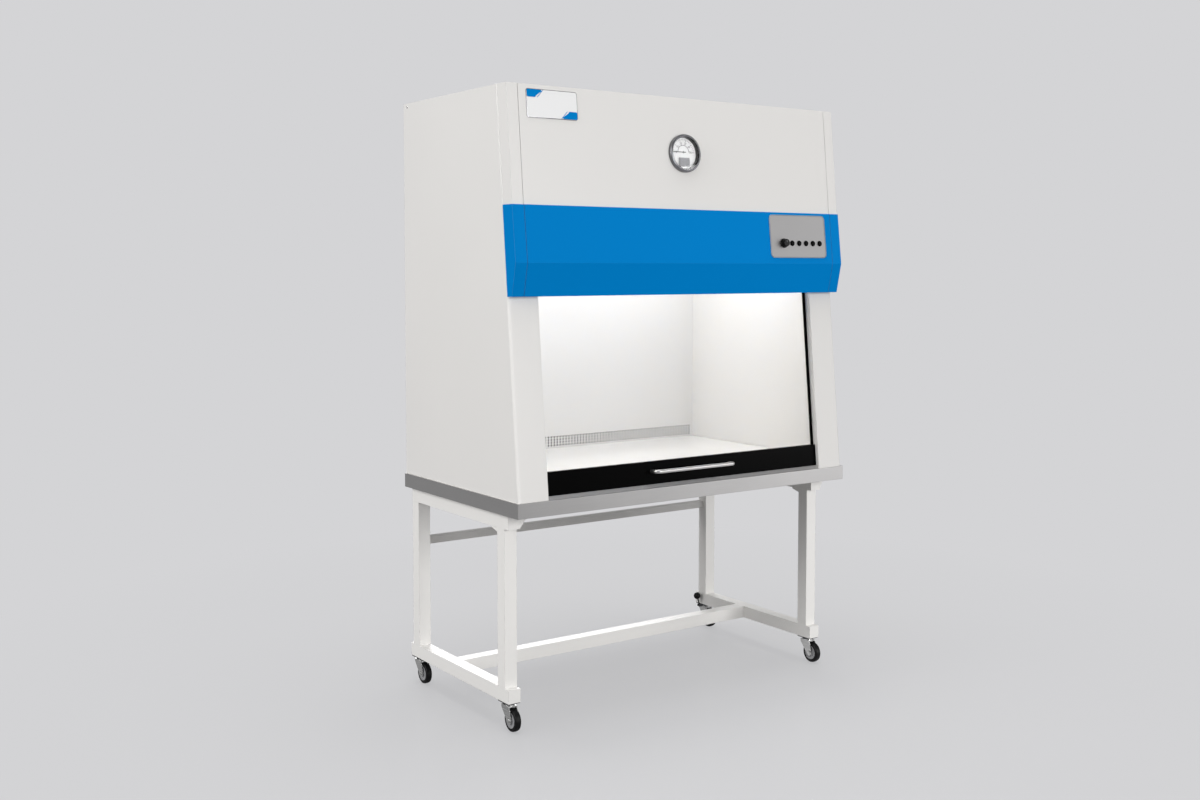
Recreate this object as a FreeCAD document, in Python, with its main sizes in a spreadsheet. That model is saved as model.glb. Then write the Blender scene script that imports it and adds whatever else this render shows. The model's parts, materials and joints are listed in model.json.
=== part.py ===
import FreeCAD, Part
import os
from types import SimpleNamespace

import Sketcher
from FreeCAD import Placement, Rotation, Vector

# Laminar flow cabinet on a wheeled stand, in millimetres.
# The origin is on the floor under the middle of the cabinet. The front faces -Y and +Z is up.
# Depths are counted from the front edge of the steel tray, and heights from the floor.

DRIVING = {
    # Overall cabinet
    "tray_width": 1310,
    "tray_depth": 720,
    "tray_top": 703,
    "lip_height": 45,
    "roof_top": 1920,
    "shell_inset": 5,
    "shell_rear_set": 2,
    "front_foot": 4,
    "front_run": 114,
    "front_reach": 16,
    "metal": 2,
    "seam": 1.2,
    "running_gap": 0.3,
    "fit_gap": 0.05,
    # Tray and work surface
    "hem_width": 14,
    "sill_height": 10,
    "sill_depth": 40,
    "surface_lift": 42,
    "surface_front": 50,
    "bearer_width": 42,
    # Columns
    "column_width": 103,
    "column_corner": 9,
    "channel_front": 23.5,
    "channel_lip": 14,
    # Work chamber
    "chamber_rear_set": 28,
    "chamber_top": 1560,
    "return_base": 752,
    "return_pitch": 10,
    "return_slot_height": 5,
    "return_slots": 18,
    "return_margin": 25,
    "return_bridge": 8,
    "return_rows": 4,
    # Hood and fascia
    "hood_depth": 50,
    "cheek_width": 38,
    "fascia_overhang": 2,
    "fascia_top": 1568,
    "fascia_drop": 169,
    "fascia_skirt": 98,
    "fascia_top_depth": 53,
    "fascia_fold_depth": 56,
    "fascia_base_depth": 26,
    # Sash
    "glass": 5,
    "glass_play": 0.5,
    "glass_overlap": 13,
    "sash_top": 1345,
    "band_height": 70,
    "band_set": 12,
    "band_play": 1.5,
    "strip_width": 10,
    "strip_depth": 4,
    "handle_length": 325,
    "handle_radius": 6,
    "handle_bend": 14,
    "handle_drop": 31,
    # Gauge
    "gauge_x": -8,
    "gauge_height": 1744,
    "bezel_radius": 60.3,
    "bezel_depth": 14,
    "bezel_round": 5,
    "cup_radius": 55,
    "cup_depth": 32,
    "dial_radius": 52.7,
    "dial_set": 4,
    "dial_plate": 1.5,
    "lens_plate": 2.5,
    "lens_set": 3,
    "pivot_rise": 5,
    "pin_length": 4.3,
    "pivot_radius": 1.5,
    "pointer_length": 40,
    "pointer_tail": 9,
    "pointer_width": 2.4,
    "pointer_plate": 0.8,
    "pointer_hub": 3.4,
    "pointer_lift": 1,
    "guard_width": 42,
    "guard_length": 30,
    "guard_plate": 4,
    "guard_drop": 28.5,
    # Controls
    "control_set": 193,
    "control_height": 1489,
    "control_width": 250,
    "control_length": 143,
    "control_plate": 3,
    "control_corner": 14,
    "key_height": 1466,
    "knob_set": 260,
    "knob_radius": 15.5,
    "knob_depth": 16,
    "knob_skirt": 3,
    "knob_taper": 2,
    "knob_round": 1.5,
    "spindle_radius": 3,
    "spindle_length": 14,
    "first_button_set": 222,
    "button_pitch": 31.2,
    "button_radius": 7,
    "button_proud": 4,
    "button_length": 14,
    "button_relief": 3,
    "hole_reach": 20,
    # Filter, lamp and blower
    "filter_depth_front": 160,
    "filter_height": 130,
    "filter_wall": 15,
    "filter_overlap": 13,
    "filter_sheet": 2,
    "filter_pleats": 38,
    "filter_margin": 12,
    "lamp_depth": 140,
    "lamp_height": 1500,
    "lamp_radius": 13,
    "lamp_cap_radius": 16,
    "lamp_cap_length": 30,
    "blower_depth": 430,
    "blower_drop": 122,
    "scroll_start": 104,
    "scroll_step": 8,
    "scroll_width": 130,
    "scroll_inlet": 80,
    "rotor_radius": 95,
    "wheel_eye_radius": 78,
    "wheel_gap": 6,
    "wheel_lip": 0.5,
    "wheel_ring": 4,
    "wheel_disc": 3,
    "blade_thickness": 2,
    "blade_reach": 12,
    "blade_count": 24,
    "shaft_radius": 6,
    "shaft_nose": 5,
    "boss_radius": 18,
    "boss_length": 25,
    "motor_radius": 55,
    "motor_length": 90,
    "motor_end": 5,
    "motor_flange": 12,
    "motor_flange_depth": 5,
    "intake_slots": 9,
    "intake_slot_length": 360,
    "intake_slot_width": 14,
    "intake_slot_pitch": 26,
    "inlet_set": 130,
    "inlet_height": 1780,
    "inlet_width": 50,
    "inlet_length": 30,
    "inlet_rim": 5,
    "inlet_depth": 24,
    "inlet_wall": 5,
    "inlet_pin": 2,
    "inlet_pin_length": 13,
    "inlet_pin_pitch": 9,
    "inlet_pin_lift": 3,
    # Stand
    "stand_inset": 20,
    "tube": 42,
    "tube_wall": 2.5,
    "rail_base": 87,
    "rail_front": 90,
    "leg_front": 110,
    "leg_rear_set": 16,
    "top_rail_drop": 6,
    "top_rail_rear_set": 14,
    "cross_depth": 440,
    "rear_rail_base": 464,
    "rear_rail_size": 25,
    # Casters
    "kingpin_set": 32,
    "caster_trail": 22,
    "wheel_radius": 35,
    "wheel_width": 24.4,
    "tyre_width": 20,
    "tyre_inner": 24,
    "tyre_round": 4,
    "tread_round": 6,
    "hub_boss": 5,
    "hub_rim": 4,
    "hub_dish": 2,
    "axle_radius": 4,
    "axle_head": 6.5,
    "axle_head_length": 4,
    "fork_gap": 25,
    "fork_plate": 2.5,
    "fork_end": 11,
    "fork_half_length": 20,
    "fork_cheek": 6,
    "fork_sweep": 8,
    "plate_length": 58,
    "plate_thickness": 3,
    "race_radius": 18,
    "race_depth": 5,
    "race_lower_depth": 2.2,
    "crown_thickness": 2.5,
    "kingpin_radius": 5,
    "kingpin_head": 8,
    "kingpin_head_depth": 3,
    "ear_thickness": 3,
    "ear_reach": 14,
    "lever_pin": 2.5,
    "lever_hub": 5.5,
    "lever_hub_length": 6,
    "lever_pin_drop": 4.6,
    "lever_rise": 38,
    "lever_lean": 12,
    "lever_rod": 2.45,
    "lever_ball": 13,
}

doc = FreeCAD.newDocument("LaminarFlowCabinet")


class Size:
    """A size that knows its value now and the sheet formula that it comes from."""

    def __init__(self, value, formula):
        self.value = float(value)
        self.formula = formula

    def __add__(self, other):
        other = as_size(other)
        return Size(self.value + other.value, f"({self.formula} + {other.formula})")

    def __radd__(self, other):
        return as_size(other) + self

    def __sub__(self, other):
        other = as_size(other)
        return Size(self.value - other.value, f"({self.formula} - {other.formula})")

    def __rsub__(self, other):
        return as_size(other) - self

    def __mul__(self, other):
        other = as_size(other)
        return Size(self.value * other.value, f"({self.formula} * {other.formula})")

    def __rmul__(self, other):
        return as_size(other) * self

    def __truediv__(self, other):
        other = as_size(other)
        return Size(self.value / other.value, f"({self.formula} / {other.formula})")

    def __neg__(self):
        return Size(-self.value, f"(0 - {self.formula})")


def as_size(amount):
    """A plain number as a size."""
    if isinstance(amount, Size):
        return amount
    return Size(amount, f"({float(amount)})")


def root(size):
    """The square root of a size."""
    return Size(size.value ** 0.5, f"sqrt({size.formula})")


def make_sheet():
    """Write the driving dimensions into a sheet and return them as sizes."""
    sheet = doc.addObject("Spreadsheet::Sheet", "Sizes")
    for row, (name, value) in enumerate(DRIVING.items(), start=1):
        sheet.set(f"A{row}", name)
        sheet.set(f"B{row}", str(value))
        sheet.setAlias(f"B{row}", name)
    doc.recompute()
    return SimpleNamespace(**{name: Size(value, f"Sizes.{name}") for name, value in DRIVING.items()})


s = make_sheet()
nodes = {}
SIDES = {"left": -1, "right": 1}


# Naming and binding

def keep(name, item):
    """Register a finished piece under the name of its node."""
    item.Label = name
    nodes[name] = item
    return item


def bind(item, name, size):
    item.setExpression(name, as_size(size).formula)


def place(item, x, y, z):
    for letter, size in zip("xyz", (x, y, z)):
        bind(item, f"Placement.Base.{letter}", size)


def new(kind, label):
    item = doc.addObject(kind, "".join(word.capitalize() for word in label.split("_")))
    item.Label = label
    return item


# Primitives, each given by its place and size

def block(label, low, lengths):
    """A box from its lowest corner."""
    item = new("Part::Box", label)
    for name, size in zip(("Length", "Width", "Height"), lengths):
        bind(item, name, size)
    place(item, *low)
    return item


TURNS = {
    "X": Rotation(Vector(0, 1, 0), 90),
    "Y": Rotation(Vector(1, 0, 0), -90),
    "Z": Rotation(),
}


def rod(label, start, radius, length, axis="Z"):
    """A cylinder that starts at a point and runs along a row axis."""
    item = new("Part::Cylinder", label)
    bind(item, "Radius", radius)
    bind(item, "Height", length)
    item.Placement = Placement(Vector(), TURNS[axis])
    place(item, *start)
    return item


def cut(label, base, *tools):
    item = new("Part::Cut", label)
    item.Base = base
    item.Tool = tools[0] if len(tools) == 1 else fuse(f"{label}_tools", *tools)
    return item


def fuse(label, *items):
    item = new("Part::MultiFuse", label)
    item.Shapes = list(items)
    return item


def group(label, *items):
    """Separate solids that share one node."""
    item = new("Part::Compound", label)
    item.Links = list(items)
    return item


# Profiles, drawn in a sketch and padded or revolved

PLANES = {"X": "YZ_Plane", "Y": "XZ_Plane", "Z": "XY_Plane"}


def origin_plane(body, role):
    return next(item for item in body.Origin.OriginFeatures if item.Role == role)


def outline(body, label, role, points, lift=None):
    """A closed sketch whose corners are bound to sizes."""
    sketch = body.newObject("Sketcher::SketchObject", f"{body.Name}{label}")
    sketch.AttachmentSupport = [(origin_plane(body, role), "")]
    sketch.MapMode = "FlatFace"
    if lift is not None:
        bind(sketch, "AttachmentOffset.Base.z", lift)
    corners = [(as_size(across), as_size(up)) for across, up in points]
    count = len(corners)
    for index, (across, up) in enumerate(corners):
        following = corners[(index + 1) % count]
        start = Vector(across.value, up.value, 0)
        finish = Vector(following[0].value, following[1].value, 0)
        sketch.addGeometry(Part.LineSegment(start, finish))
    for index in range(count):
        sketch.addConstraint(Sketcher.Constraint("Coincident", index, 2, (index + 1) % count, 1))
    for index, corner in enumerate(corners):
        for kind, size in zip(("DistanceX", "DistanceY"), corner):
            number = sketch.addConstraint(Sketcher.Constraint(kind, index, 1, size.value))
            bind(sketch, f"Constraints[{number}]", size)
    return sketch


def prism(label, points, start, length, axis="X"):
    """A profile across a row axis, padded along that axis."""
    body = new("PartDesign::Body", label)
    lift = -(start + length) if axis == "Y" else start
    sketch = outline(body, "Profile", PLANES[axis], points, lift)
    pad = body.newObject("PartDesign::Pad", f"{body.Name}Pad")
    pad.Profile = sketch
    bind(pad, "Length", length)
    return body


def turned(label, points):
    """A profile of radius and height, revolved about the body's own Z axis."""
    body = new("PartDesign::Body", label)
    sketch = outline(body, "Profile", "XZ_Plane", points)
    feature = body.newObject("PartDesign::Revolution", f"{body.Name}Turn")
    feature.Profile = sketch
    feature.ReferenceAxis = (sketch, ["V_Axis"])
    feature.Angle = 360
    return body


def eased(radius, height, turn, rise):
    """Three points that take the outer corner off a turned piece, from its side up to its top."""
    return [(radius, height - rise), (radius - 0.3 * turn, height - 0.3 * rise), (radius - turn, height)]


def mirrored(upper):
    """A turned profile from its upper half: the same points below, then those above."""
    return [(radius, -height) for radius, height in upper] + upper[::-1]


def rounded(label, base, radius, chosen):
    """Fillet the edges of a piece that a test picks."""
    doc.recompute()
    item = new("Part::Fillet", label)
    item.Base = base
    item.Edges = [
        (number, as_size(radius).value, as_size(radius).value)
        for number, edge in enumerate(base.Shape.Edges, start=1)
        if chosen(edge)
    ]
    return item


# The leaning front

def from_front(depth):
    """A depth behind the tray's front edge, as a Y."""
    return as_size(depth) - (s.tray_depth - s.front_reach) / 2


slope = s.front_run / (s.roof_top - s.tray_top)


def front_line(height, behind=0):
    """Y on the plane of the columns' front at a height, or behind that plane."""
    return from_front(s.front_foot + slope * (as_size(height) - s.tray_top) + behind)


class Face:
    """A face that leans back, with places on it given as across, up and out."""

    def __init__(self, x, y, z, lean):
        length = root(as_size(1) + lean * lean)
        self.origin = (as_size(x), y, z)
        self.lean = lean
        self.sine = lean / length
        self.cosine = as_size(1) / length

    def point(self, across, up, out):
        x, y, z = self.origin
        return (x + across, y + self.sine * up - self.cosine * out, z + self.cosine * up + self.sine * out)

    def seat(self, item, across=0, up=0, out=0):
        """Stand a piece on the face, its own Z pointing out of it."""
        item.Placement = Placement(Vector(), Rotation(Vector(1, 0, 0), 90))
        item.setExpression("Placement.Rotation.Angle", f"90 deg - atan({self.lean.formula})")
        place(item, *self.point(across, up, out))
        return item


def cylinder_on(face, label, across, up, out, radius, length):
    item = new("Part::Cylinder", label)
    bind(item, "Radius", radius)
    bind(item, "Height", length)
    return face.seat(item, as_size(across), as_size(up), as_size(out))


def block_on(face, label, across, up, out, lengths):
    """A box on a leaning face, given by the middle of its base."""
    item = new("Part::Box", label)
    for name, size in zip(("Length", "Width", "Height"), lengths):
        bind(item, name, size)
    low_across = as_size(across) - as_size(lengths[0]) / 2
    low_up = as_size(up) - as_size(lengths[1]) / 2
    return face.seat(item, low_across, low_up, as_size(out))


def sided(side, near, far):
    """The lowest X of a stretch from near to far on one side of the middle."""
    return near if side > 0 else -as_size(far)


half_tray = s.tray_width / 2
half_shell = half_tray - s.shell_inset
half_stand = half_tray - s.stand_inset
half_chamber = half_shell - s.column_width
shell_rear = from_front(s.tray_depth - s.shell_rear_set)
rear_sheet = shell_rear - s.metal
inlet_x = half_shell - s.inlet_set
chamber_back = from_front(s.tray_depth - s.chamber_rear_set)
surface_top = s.tray_top + s.surface_lift
sill_top = s.tray_top + s.sill_height
glass_front = s.channel_front + s.glass_play
channel_back = glass_front + s.glass + s.glass_play
band_top = sill_top + s.band_height
handle_height = band_top - s.handle_drop
tray_base = s.tray_top - s.lip_height
top_rail_top = tray_base - s.top_rail_drop
fascia_fold = s.fascia_top - s.fascia_drop
fascia_base = fascia_fold - s.fascia_skirt


# Steel tray, work surface and sill

def make_tray():
    skin = block("tray_skin", (-half_tray, from_front(0), tray_base), (s.tray_width, s.tray_depth, s.lip_height))
    hollow = block(
        "tray_hollow",
        (s.metal - half_tray, from_front(s.metal), tray_base + s.metal),
        (s.tray_width - 2 * s.metal, s.tray_depth - 2 * s.metal, s.lip_height - 2 * s.metal),
    )
    mouth = block(
        "tray_mouth",
        (s.hem_width - half_tray, from_front(s.hem_width), tray_base - 1),
        (s.tray_width - 2 * s.hem_width, s.tray_depth - 2 * s.hem_width, s.metal + 2),
    )
    pieces = [cut("tray_shell", skin, hollow, mouth)]
    pieces.append(prism(
        "tray_sill",
        [
            (front_line(s.tray_top), s.tray_top - s.metal / 2),
            (front_line(s.tray_top, s.sill_height), sill_top),
            (front_line(s.tray_top, s.sill_depth), sill_top),
            (front_line(s.tray_top, s.sill_depth), s.tray_top - s.metal / 2),
        ],
        s.band_play - half_chamber,
        2 * (half_chamber - s.band_play),
    ))
    for side_name, side in SIDES.items():
        low = sided(side, half_stand - s.bearer_width, half_stand)
        height = s.tray_top - s.metal / 2 - top_rail_top
        length = s.tray_depth - s.rail_front - s.top_rail_rear_set
        bearer = block(
            f"bearer_{side_name}",
            (low, from_front(s.rail_front), top_rail_top),
            (s.bearer_width, length, height),
        )
        bore = block(
            f"bearer_bore_{side_name}",
            (low + s.metal, from_front(s.rail_front) - 1, top_rail_top + s.metal),
            (s.bearer_width - 2 * s.metal, length + 2, height - 2 * s.metal),
        )
        pieces.append(cut(f"bearer_tube_{side_name}", bearer, bore))
    keep("work_tray", fuse("work_tray", *pieces))


def make_work_surface():
    half = half_chamber - s.band_play
    front = from_front(s.surface_front)
    depth = chamber_back - s.seam - front
    skin = block("surface_skin", (-half, front, s.tray_top), (2 * half, depth, s.surface_lift))
    hollow = block(
        "surface_hollow",
        (s.metal - half, front + s.metal, s.tray_top - 1),
        (2 * (half - s.metal), depth - 2 * s.metal, s.surface_lift - s.metal + 1),
    )
    keep("work_surface", cut("work_surface", skin, hollow))


# Columns and side panels, each bent from one sheet

def make_side_panel(side_name, side):
    rear = shell_rear
    outer = prism(
        f"panel_block_{side_name}",
        [
            (front_line(s.tray_top), s.tray_top),
            (rear, s.tray_top),
            (rear, s.roof_top),
            (front_line(s.roof_top), s.roof_top),
        ],
        sided(side, half_chamber, half_shell),
        s.column_width,
    )
    corner_x = side * half_shell.value

    def is_front_corner(edge):
        middle = edge.CenterOfMass
        leaning = abs(edge.BoundBox.ZLength - (s.roof_top - s.tray_top).value) < 1
        return leaning and edge.BoundBox.YLength > 1 and abs(middle.x - corner_x) < 0.01

    block_round = rounded(f"panel_round_{side_name}", outer, s.column_corner, is_front_corner)
    low = s.tray_top - 1
    high = s.roof_top + 1
    inner = prism(
        f"panel_inside_{side_name}",
        [
            (front_line(low, s.metal), low),
            (rear + 1, low),
            (rear + 1, high),
            (front_line(high, s.metal), high),
        ],
        sided(side, half_chamber + s.metal, half_shell - s.metal),
        s.column_width - 2 * s.metal,
    )

    def is_inner_corner(edge):
        leaning = abs(edge.BoundBox.ZLength - (high - low).value) < 1
        inner_x = side * (half_shell - s.metal).value
        return leaning and edge.BoundBox.YLength > 1 and abs(edge.CenterOfMass.x - inner_x) < 0.01

    inner_round = rounded(
        f"panel_inside_round_{side_name}", inner, s.column_corner - s.metal, is_inner_corner
    )
    window = prism(
        f"panel_window_{side_name}",
        [
            (front_line(low, s.channel_front), low),
            (rear + 1, low),
            (rear + 1, high),
            (front_line(high, s.channel_front), high),
        ],
        sided(side, half_chamber - 1, half_chamber + s.metal + 1),
        s.metal + 2,
    )
    name = f"side_panel_{side_name}"
    keep(name, cut(name, block_round, inner_round, window))


# White work chamber

def make_inner_walls():
    walls = []
    for side_name, side in SIDES.items():
        sheet = prism(
            f"inner_sheet_{side_name}",
            [
                (front_line(s.tray_top, channel_back), s.tray_top),
                (chamber_back, s.tray_top),
                (chamber_back, s.chamber_top),
                (front_line(s.chamber_top, channel_back), s.chamber_top),
            ],
            sided(side, half_chamber, half_chamber + s.metal),
            s.metal,
        )
        lip = prism(
            f"inner_lip_{side_name}",
            [
                (front_line(s.tray_top, channel_back), s.tray_top),
                (front_line(s.tray_top, channel_back + s.metal), s.tray_top),
                (front_line(s.chamber_top, channel_back + s.metal), s.chamber_top),
                (front_line(s.chamber_top, channel_back), s.chamber_top),
            ],
            sided(side, half_chamber, half_chamber + s.channel_lip),
            s.channel_lip,
        )
        walls.append(fuse(f"inner_wall_{side_name}", sheet, lip))
    keep("inner_walls", group("inner_walls", *walls))


def make_back_wall():
    half = half_chamber + s.metal
    sheet = block(
        "back_wall_sheet",
        (-half, chamber_back, s.tray_top),
        (2 * half, s.metal, s.chamber_top - s.tray_top),
    )
    slots = []
    count = int(s.return_slots.value)
    pitch = 2 * (half_chamber - s.return_margin) / count
    length = pitch - s.return_bridge
    for row in range(int(s.return_rows.value)):
        for column in range(count):
            middle = pitch * (column - (count - 1) / 2)
            slots.append(block(
                f"return_slot_{row}_{column}",
                (middle - length / 2, chamber_back - 1, s.return_base + s.return_pitch * row),
                (length, s.metal + 2, s.return_slot_height),
            ))
    keep("back_wall", cut("back_wall", sheet, group("return_slots", *slots)))


# Rear and roof

def make_back_panel():
    half = half_shell - s.metal
    sheet = block(
        "back_sheet",
        (-half, rear_sheet, s.tray_top),
        (2 * half, s.metal, s.roof_top - s.metal - s.tray_top),
    )
    opening = block(
        "inlet_opening",
        (inlet_x - s.inlet_width / 2, rear_sheet - 1, s.inlet_height - s.inlet_length / 2),
        (s.inlet_width, s.metal + 2, s.inlet_length),
    )
    keep("back_panel", cut("back_panel", sheet, opening))


def make_power_inlet():
    """A flanged socket with three flat pins, set into the back panel."""
    low_x = inlet_x - s.inlet_width / 2
    low_z = s.inlet_height - s.inlet_length / 2
    rim = s.inlet_rim
    gap = s.running_gap
    wall = s.inlet_wall
    flange = block(
        "inlet_flange",
        (low_x - rim, shell_rear, low_z - rim),
        (s.inlet_width + 2 * rim, s.shell_rear_set, s.inlet_length + 2 * rim),
    )
    shell = block(
        "inlet_shell",
        (low_x + gap, shell_rear - s.inlet_depth, low_z + gap),
        (s.inlet_width - 2 * gap, s.inlet_depth + s.shell_rear_set / 2, s.inlet_length - 2 * gap),
    )
    socket_depth = s.inlet_depth - wall
    socket = block(
        "inlet_socket",
        (low_x + 2 * wall, shell_rear - socket_depth, low_z + wall),
        (s.inlet_width - 4 * wall, socket_depth + s.shell_rear_set + 1, s.inlet_length - 2 * wall),
    )
    pieces = [cut("inlet_body", fuse("inlet_solid", flange, shell), socket)]
    for number in range(3):
        offset = s.inlet_pin_pitch * (number - 1)
        lift = s.inlet_pin_lift if number == 1 else as_size(0)
        pieces.append(block(
            f"inlet_pin_{number}",
            (inlet_x + offset - s.inlet_pin / 2, shell_rear - socket_depth - 1, s.inlet_height + lift),
            (s.inlet_pin, s.inlet_pin_length + 1, 2 * s.inlet_pin),
        ))
    keep("power_inlet", fuse("power_inlet", *pieces))


def make_roof():
    """A flat sheet that clears the columns' round corners, with intake slots over the blower."""
    front = front_line(s.roof_top, s.metal)
    half = half_shell - s.metal
    corner = s.column_corner - s.metal
    sheet = prism(
        "roof_sheet",
        [
            (corner - half, front),
            (half - corner, front),
            (half, front + corner),
            (half, shell_rear),
            (-half, shell_rear),
            (-half, front + corner),
        ],
        s.roof_top - s.metal,
        s.metal,
        "Z",
    )
    openings = []
    for side_name, side in SIDES.items():
        low = sided(side, half_chamber - s.running_gap, half_chamber + s.metal + s.running_gap)
        openings.append(block(
            f"roof_notch_{side_name}",
            (low, front - 1, s.roof_top - s.metal - 1),
            (s.metal + 2 * s.running_gap, s.channel_front + s.running_gap, s.metal + 2),
        ))
    count = int(s.intake_slots.value)
    for number in range(count):
        middle = from_front(s.blower_depth) + s.intake_slot_pitch * (number - (count - 1) / 2)
        openings.append(block(
            f"intake_slot_{number}",
            (-s.intake_slot_length / 2, middle - s.intake_slot_width / 2, s.roof_top - s.metal - 1),
            (s.intake_slot_length, s.intake_slot_width, s.metal + 2),
        ))
    keep("roof_panel", cut("roof_panel", sheet, group("roof_openings", *openings)))


# Hood and blue fascia

def hood_profile(inset=0):
    """The hood's side view, or the same set in by a sheet."""
    return [
        (front_line(s.fascia_top, inset - s.hood_depth), s.fascia_top),
        (front_line(s.roof_top - inset, inset - s.hood_depth), s.roof_top - inset),
        (front_line(s.roof_top - inset, 0), s.roof_top - inset),
        (front_line(s.fascia_top, 0), s.fascia_top),
    ]


def fascia_profile(inset=0):
    """The fascia's side view, folded out at its middle, or the same set in by a sheet."""
    return [
        (front_line(s.fascia_top - inset, 0), s.fascia_top - inset),
        (front_line(s.fascia_top - inset, inset - s.fascia_top_depth), s.fascia_top - inset),
        (front_line(fascia_fold, inset - s.fascia_fold_depth), fascia_fold),
        (front_line(fascia_base + inset, inset - s.fascia_base_depth), fascia_base + inset),
        (front_line(fascia_base + inset, 0), fascia_base + inset),
    ]


def make_cheeks(side_name, side):
    """End pieces of the hood and the fascia, open towards the middle and the rear."""
    cheeks = (
        ("hood_cheek", hood_profile, half_shell),
        ("fascia_cheek", fascia_profile, half_shell + s.fascia_overhang),
    )
    for word, profile, outer in cheeks:
        inner = half_shell - s.cheek_width
        name = f"{word}_{side_name}"
        skin = prism(f"{name}_skin", profile(), sided(side, inner, outer), outer - inner)
        far = outer - s.metal
        hollow = prism(f"{name}_hollow", profile(s.metal), sided(side, inner - 1, far), far - inner + 1)
        keep(name, cut(name, skin, hollow))


def make_centre(name, profile, holes):
    """A cover between the cheeks, bent from one sheet, with holes for what it carries."""
    half = half_shell - s.cheek_width - s.seam
    skin = prism(f"{name}_skin", profile(), -half, 2 * half)
    hollow = prism(f"{name}_hollow", profile(s.metal), -half - 1, 2 * half + 2)
    keep(name, cut(name, skin, hollow, *holes))


hood_front_middle = front_line(s.gauge_height, -s.hood_depth)
hood_face = Face(s.gauge_x, hood_front_middle, s.gauge_height, slope)

fascia_top_y = front_line(s.fascia_top, -s.fascia_top_depth)
fascia_fold_y = front_line(fascia_fold, -s.fascia_fold_depth)
fascia_slope = (fascia_top_y - fascia_fold_y) / s.fascia_drop
knob_x = half_shell - s.knob_set
first_button_x = half_shell - s.first_button_set


def on_fascia(x, height):
    """The fascia's upper face, with its own origin at a place on it."""
    return Face(x, fascia_fold_y + fascia_slope * (height - fascia_fold), height, fascia_slope)


def make_hood_and_fascia():
    reach = s.hole_reach
    cup_hole = cylinder_on(hood_face, "gauge_hole", 0, 0, -reach, s.cup_radius + s.running_gap, 2 * reach)
    make_centre("hood_cover", hood_profile, [cup_hole])
    holes = []
    for number in range(5):
        face = on_fascia(first_button_x + s.button_pitch * number, s.key_height)
        holes.append(cylinder_on(
            face, f"button_relief_{number}", 0, 0, -reach, s.button_radius + s.button_relief, 2 * reach
        ))
    knob_face = on_fascia(knob_x, s.key_height)
    holes.append(cylinder_on(
        knob_face, "spindle_relief", 0, 0, -reach, s.spindle_radius + s.button_relief, 2 * reach
    ))
    make_centre("fascia_panel", fascia_profile, holes)


# Sliding sash

def make_sash():
    half = half_chamber + s.glass_overlap
    back = glass_front + s.glass
    keep("sash_glass", prism(
        "sash_glass",
        [
            (front_line(sill_top, glass_front), sill_top),
            (front_line(sill_top, back), sill_top),
            (front_line(s.sash_top, back), s.sash_top),
            (front_line(s.sash_top, glass_front), s.sash_top),
        ],
        -half,
        2 * half,
    ))
    inner = half_chamber - s.band_play
    pieces = [prism(
        "sash_band",
        [
            (front_line(sill_top, s.band_set), sill_top),
            (front_line(sill_top, glass_front), sill_top),
            (front_line(band_top, glass_front), band_top),
            (front_line(band_top, s.band_set), band_top),
        ],
        -inner,
        2 * inner,
    )]
    for side_name, side in SIDES.items():
        pieces.append(prism(
            f"sash_strip_{side_name}",
            [
                (front_line(band_top, glass_front - s.strip_depth), band_top),
                (front_line(band_top, glass_front), band_top),
                (front_line(s.sash_top, glass_front), s.sash_top),
                (front_line(s.sash_top, glass_front - s.strip_depth), s.sash_top),
            ],
            sided(side, inner - s.strip_width, inner),
            s.strip_width,
        ))
    keep("sash_frame", fuse("sash_frame", *pieces))


def round_sketch(body, label, role, radius, centres, lift=None, shift=None):
    """A sketch of a round section at one or more places."""
    sketch = body.newObject("Sketcher::SketchObject", f"{body.Name}{label}")
    sketch.AttachmentSupport = [(origin_plane(body, role), "")]
    sketch.MapMode = "FlatFace"
    for letter, size in (("z", lift), ("x", shift)):
        if size is not None:
            bind(sketch, f"AttachmentOffset.Base.{letter}", size)
    for index, (across, up) in enumerate(centres):
        centre = Vector(as_size(across).value, as_size(up).value, 0)
        sketch.addGeometry(Part.Circle(centre, Vector(0, 0, 1), radius.value))
        number = sketch.addConstraint(Sketcher.Constraint("Radius", index, radius.value))
        bind(sketch, f"Constraints[{number}]", radius)
        for kind, size in (("DistanceX", as_size(across)), ("DistanceY", as_size(up))):
            number = sketch.addConstraint(Sketcher.Constraint(kind, index, 3, size.value))
            bind(sketch, f"Constraints[{number}]", size)
    return sketch


def make_handle():
    """A round bar with a bent return at each end, standing on the sash's band."""
    band_face_y = front_line(handle_height, s.band_set)
    face = Face(0, band_face_y, handle_height, slope)
    rise = (band_face_y - from_front(0) + s.front_reach - s.handle_radius) / face.cosine
    across = s.handle_length / 2 - s.handle_radius
    straight = across - s.handle_bend
    body = new("PartDesign::Body", "sash_handle")
    legs = body.newObject("PartDesign::Pad", "HandleLegs")
    thick = s.handle_radius
    legs.Profile = round_sketch(body, "LegSection", "XY_Plane", thick, [(-across, 0), (across, 0)])
    bind(legs, "Length", rise - s.handle_bend)
    bar = body.newObject("PartDesign::Pad", "HandleBar")
    bar.Profile = round_sketch(body, "BarSection", "YZ_Plane", thick, [(0, rise)])
    bar.SideType = "Symmetric"
    bind(bar, "Length", 2 * straight)
    bend = body.newObject("PartDesign::Revolution", "HandleBend")
    bend_section = round_sketch(
        body, "BendSection", "XY_Plane", thick, [(s.handle_bend, 0)], rise - s.handle_bend, straight
    )
    bend.Profile = bend_section
    bend.ReferenceAxis = (bend_section, ["V_Axis"])
    bend.Angle = 90
    bend.Reversed = True
    other_bend = body.newObject("PartDesign::Mirrored", "HandleOtherBend")
    other_bend.Originals = [bend]
    other_bend.MirrorPlane = (origin_plane(body, "YZ_Plane"), [""])
    body.Tip = other_bend
    face.seat(body)
    keep("sash_handle", body)


# Pressure gauge

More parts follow.
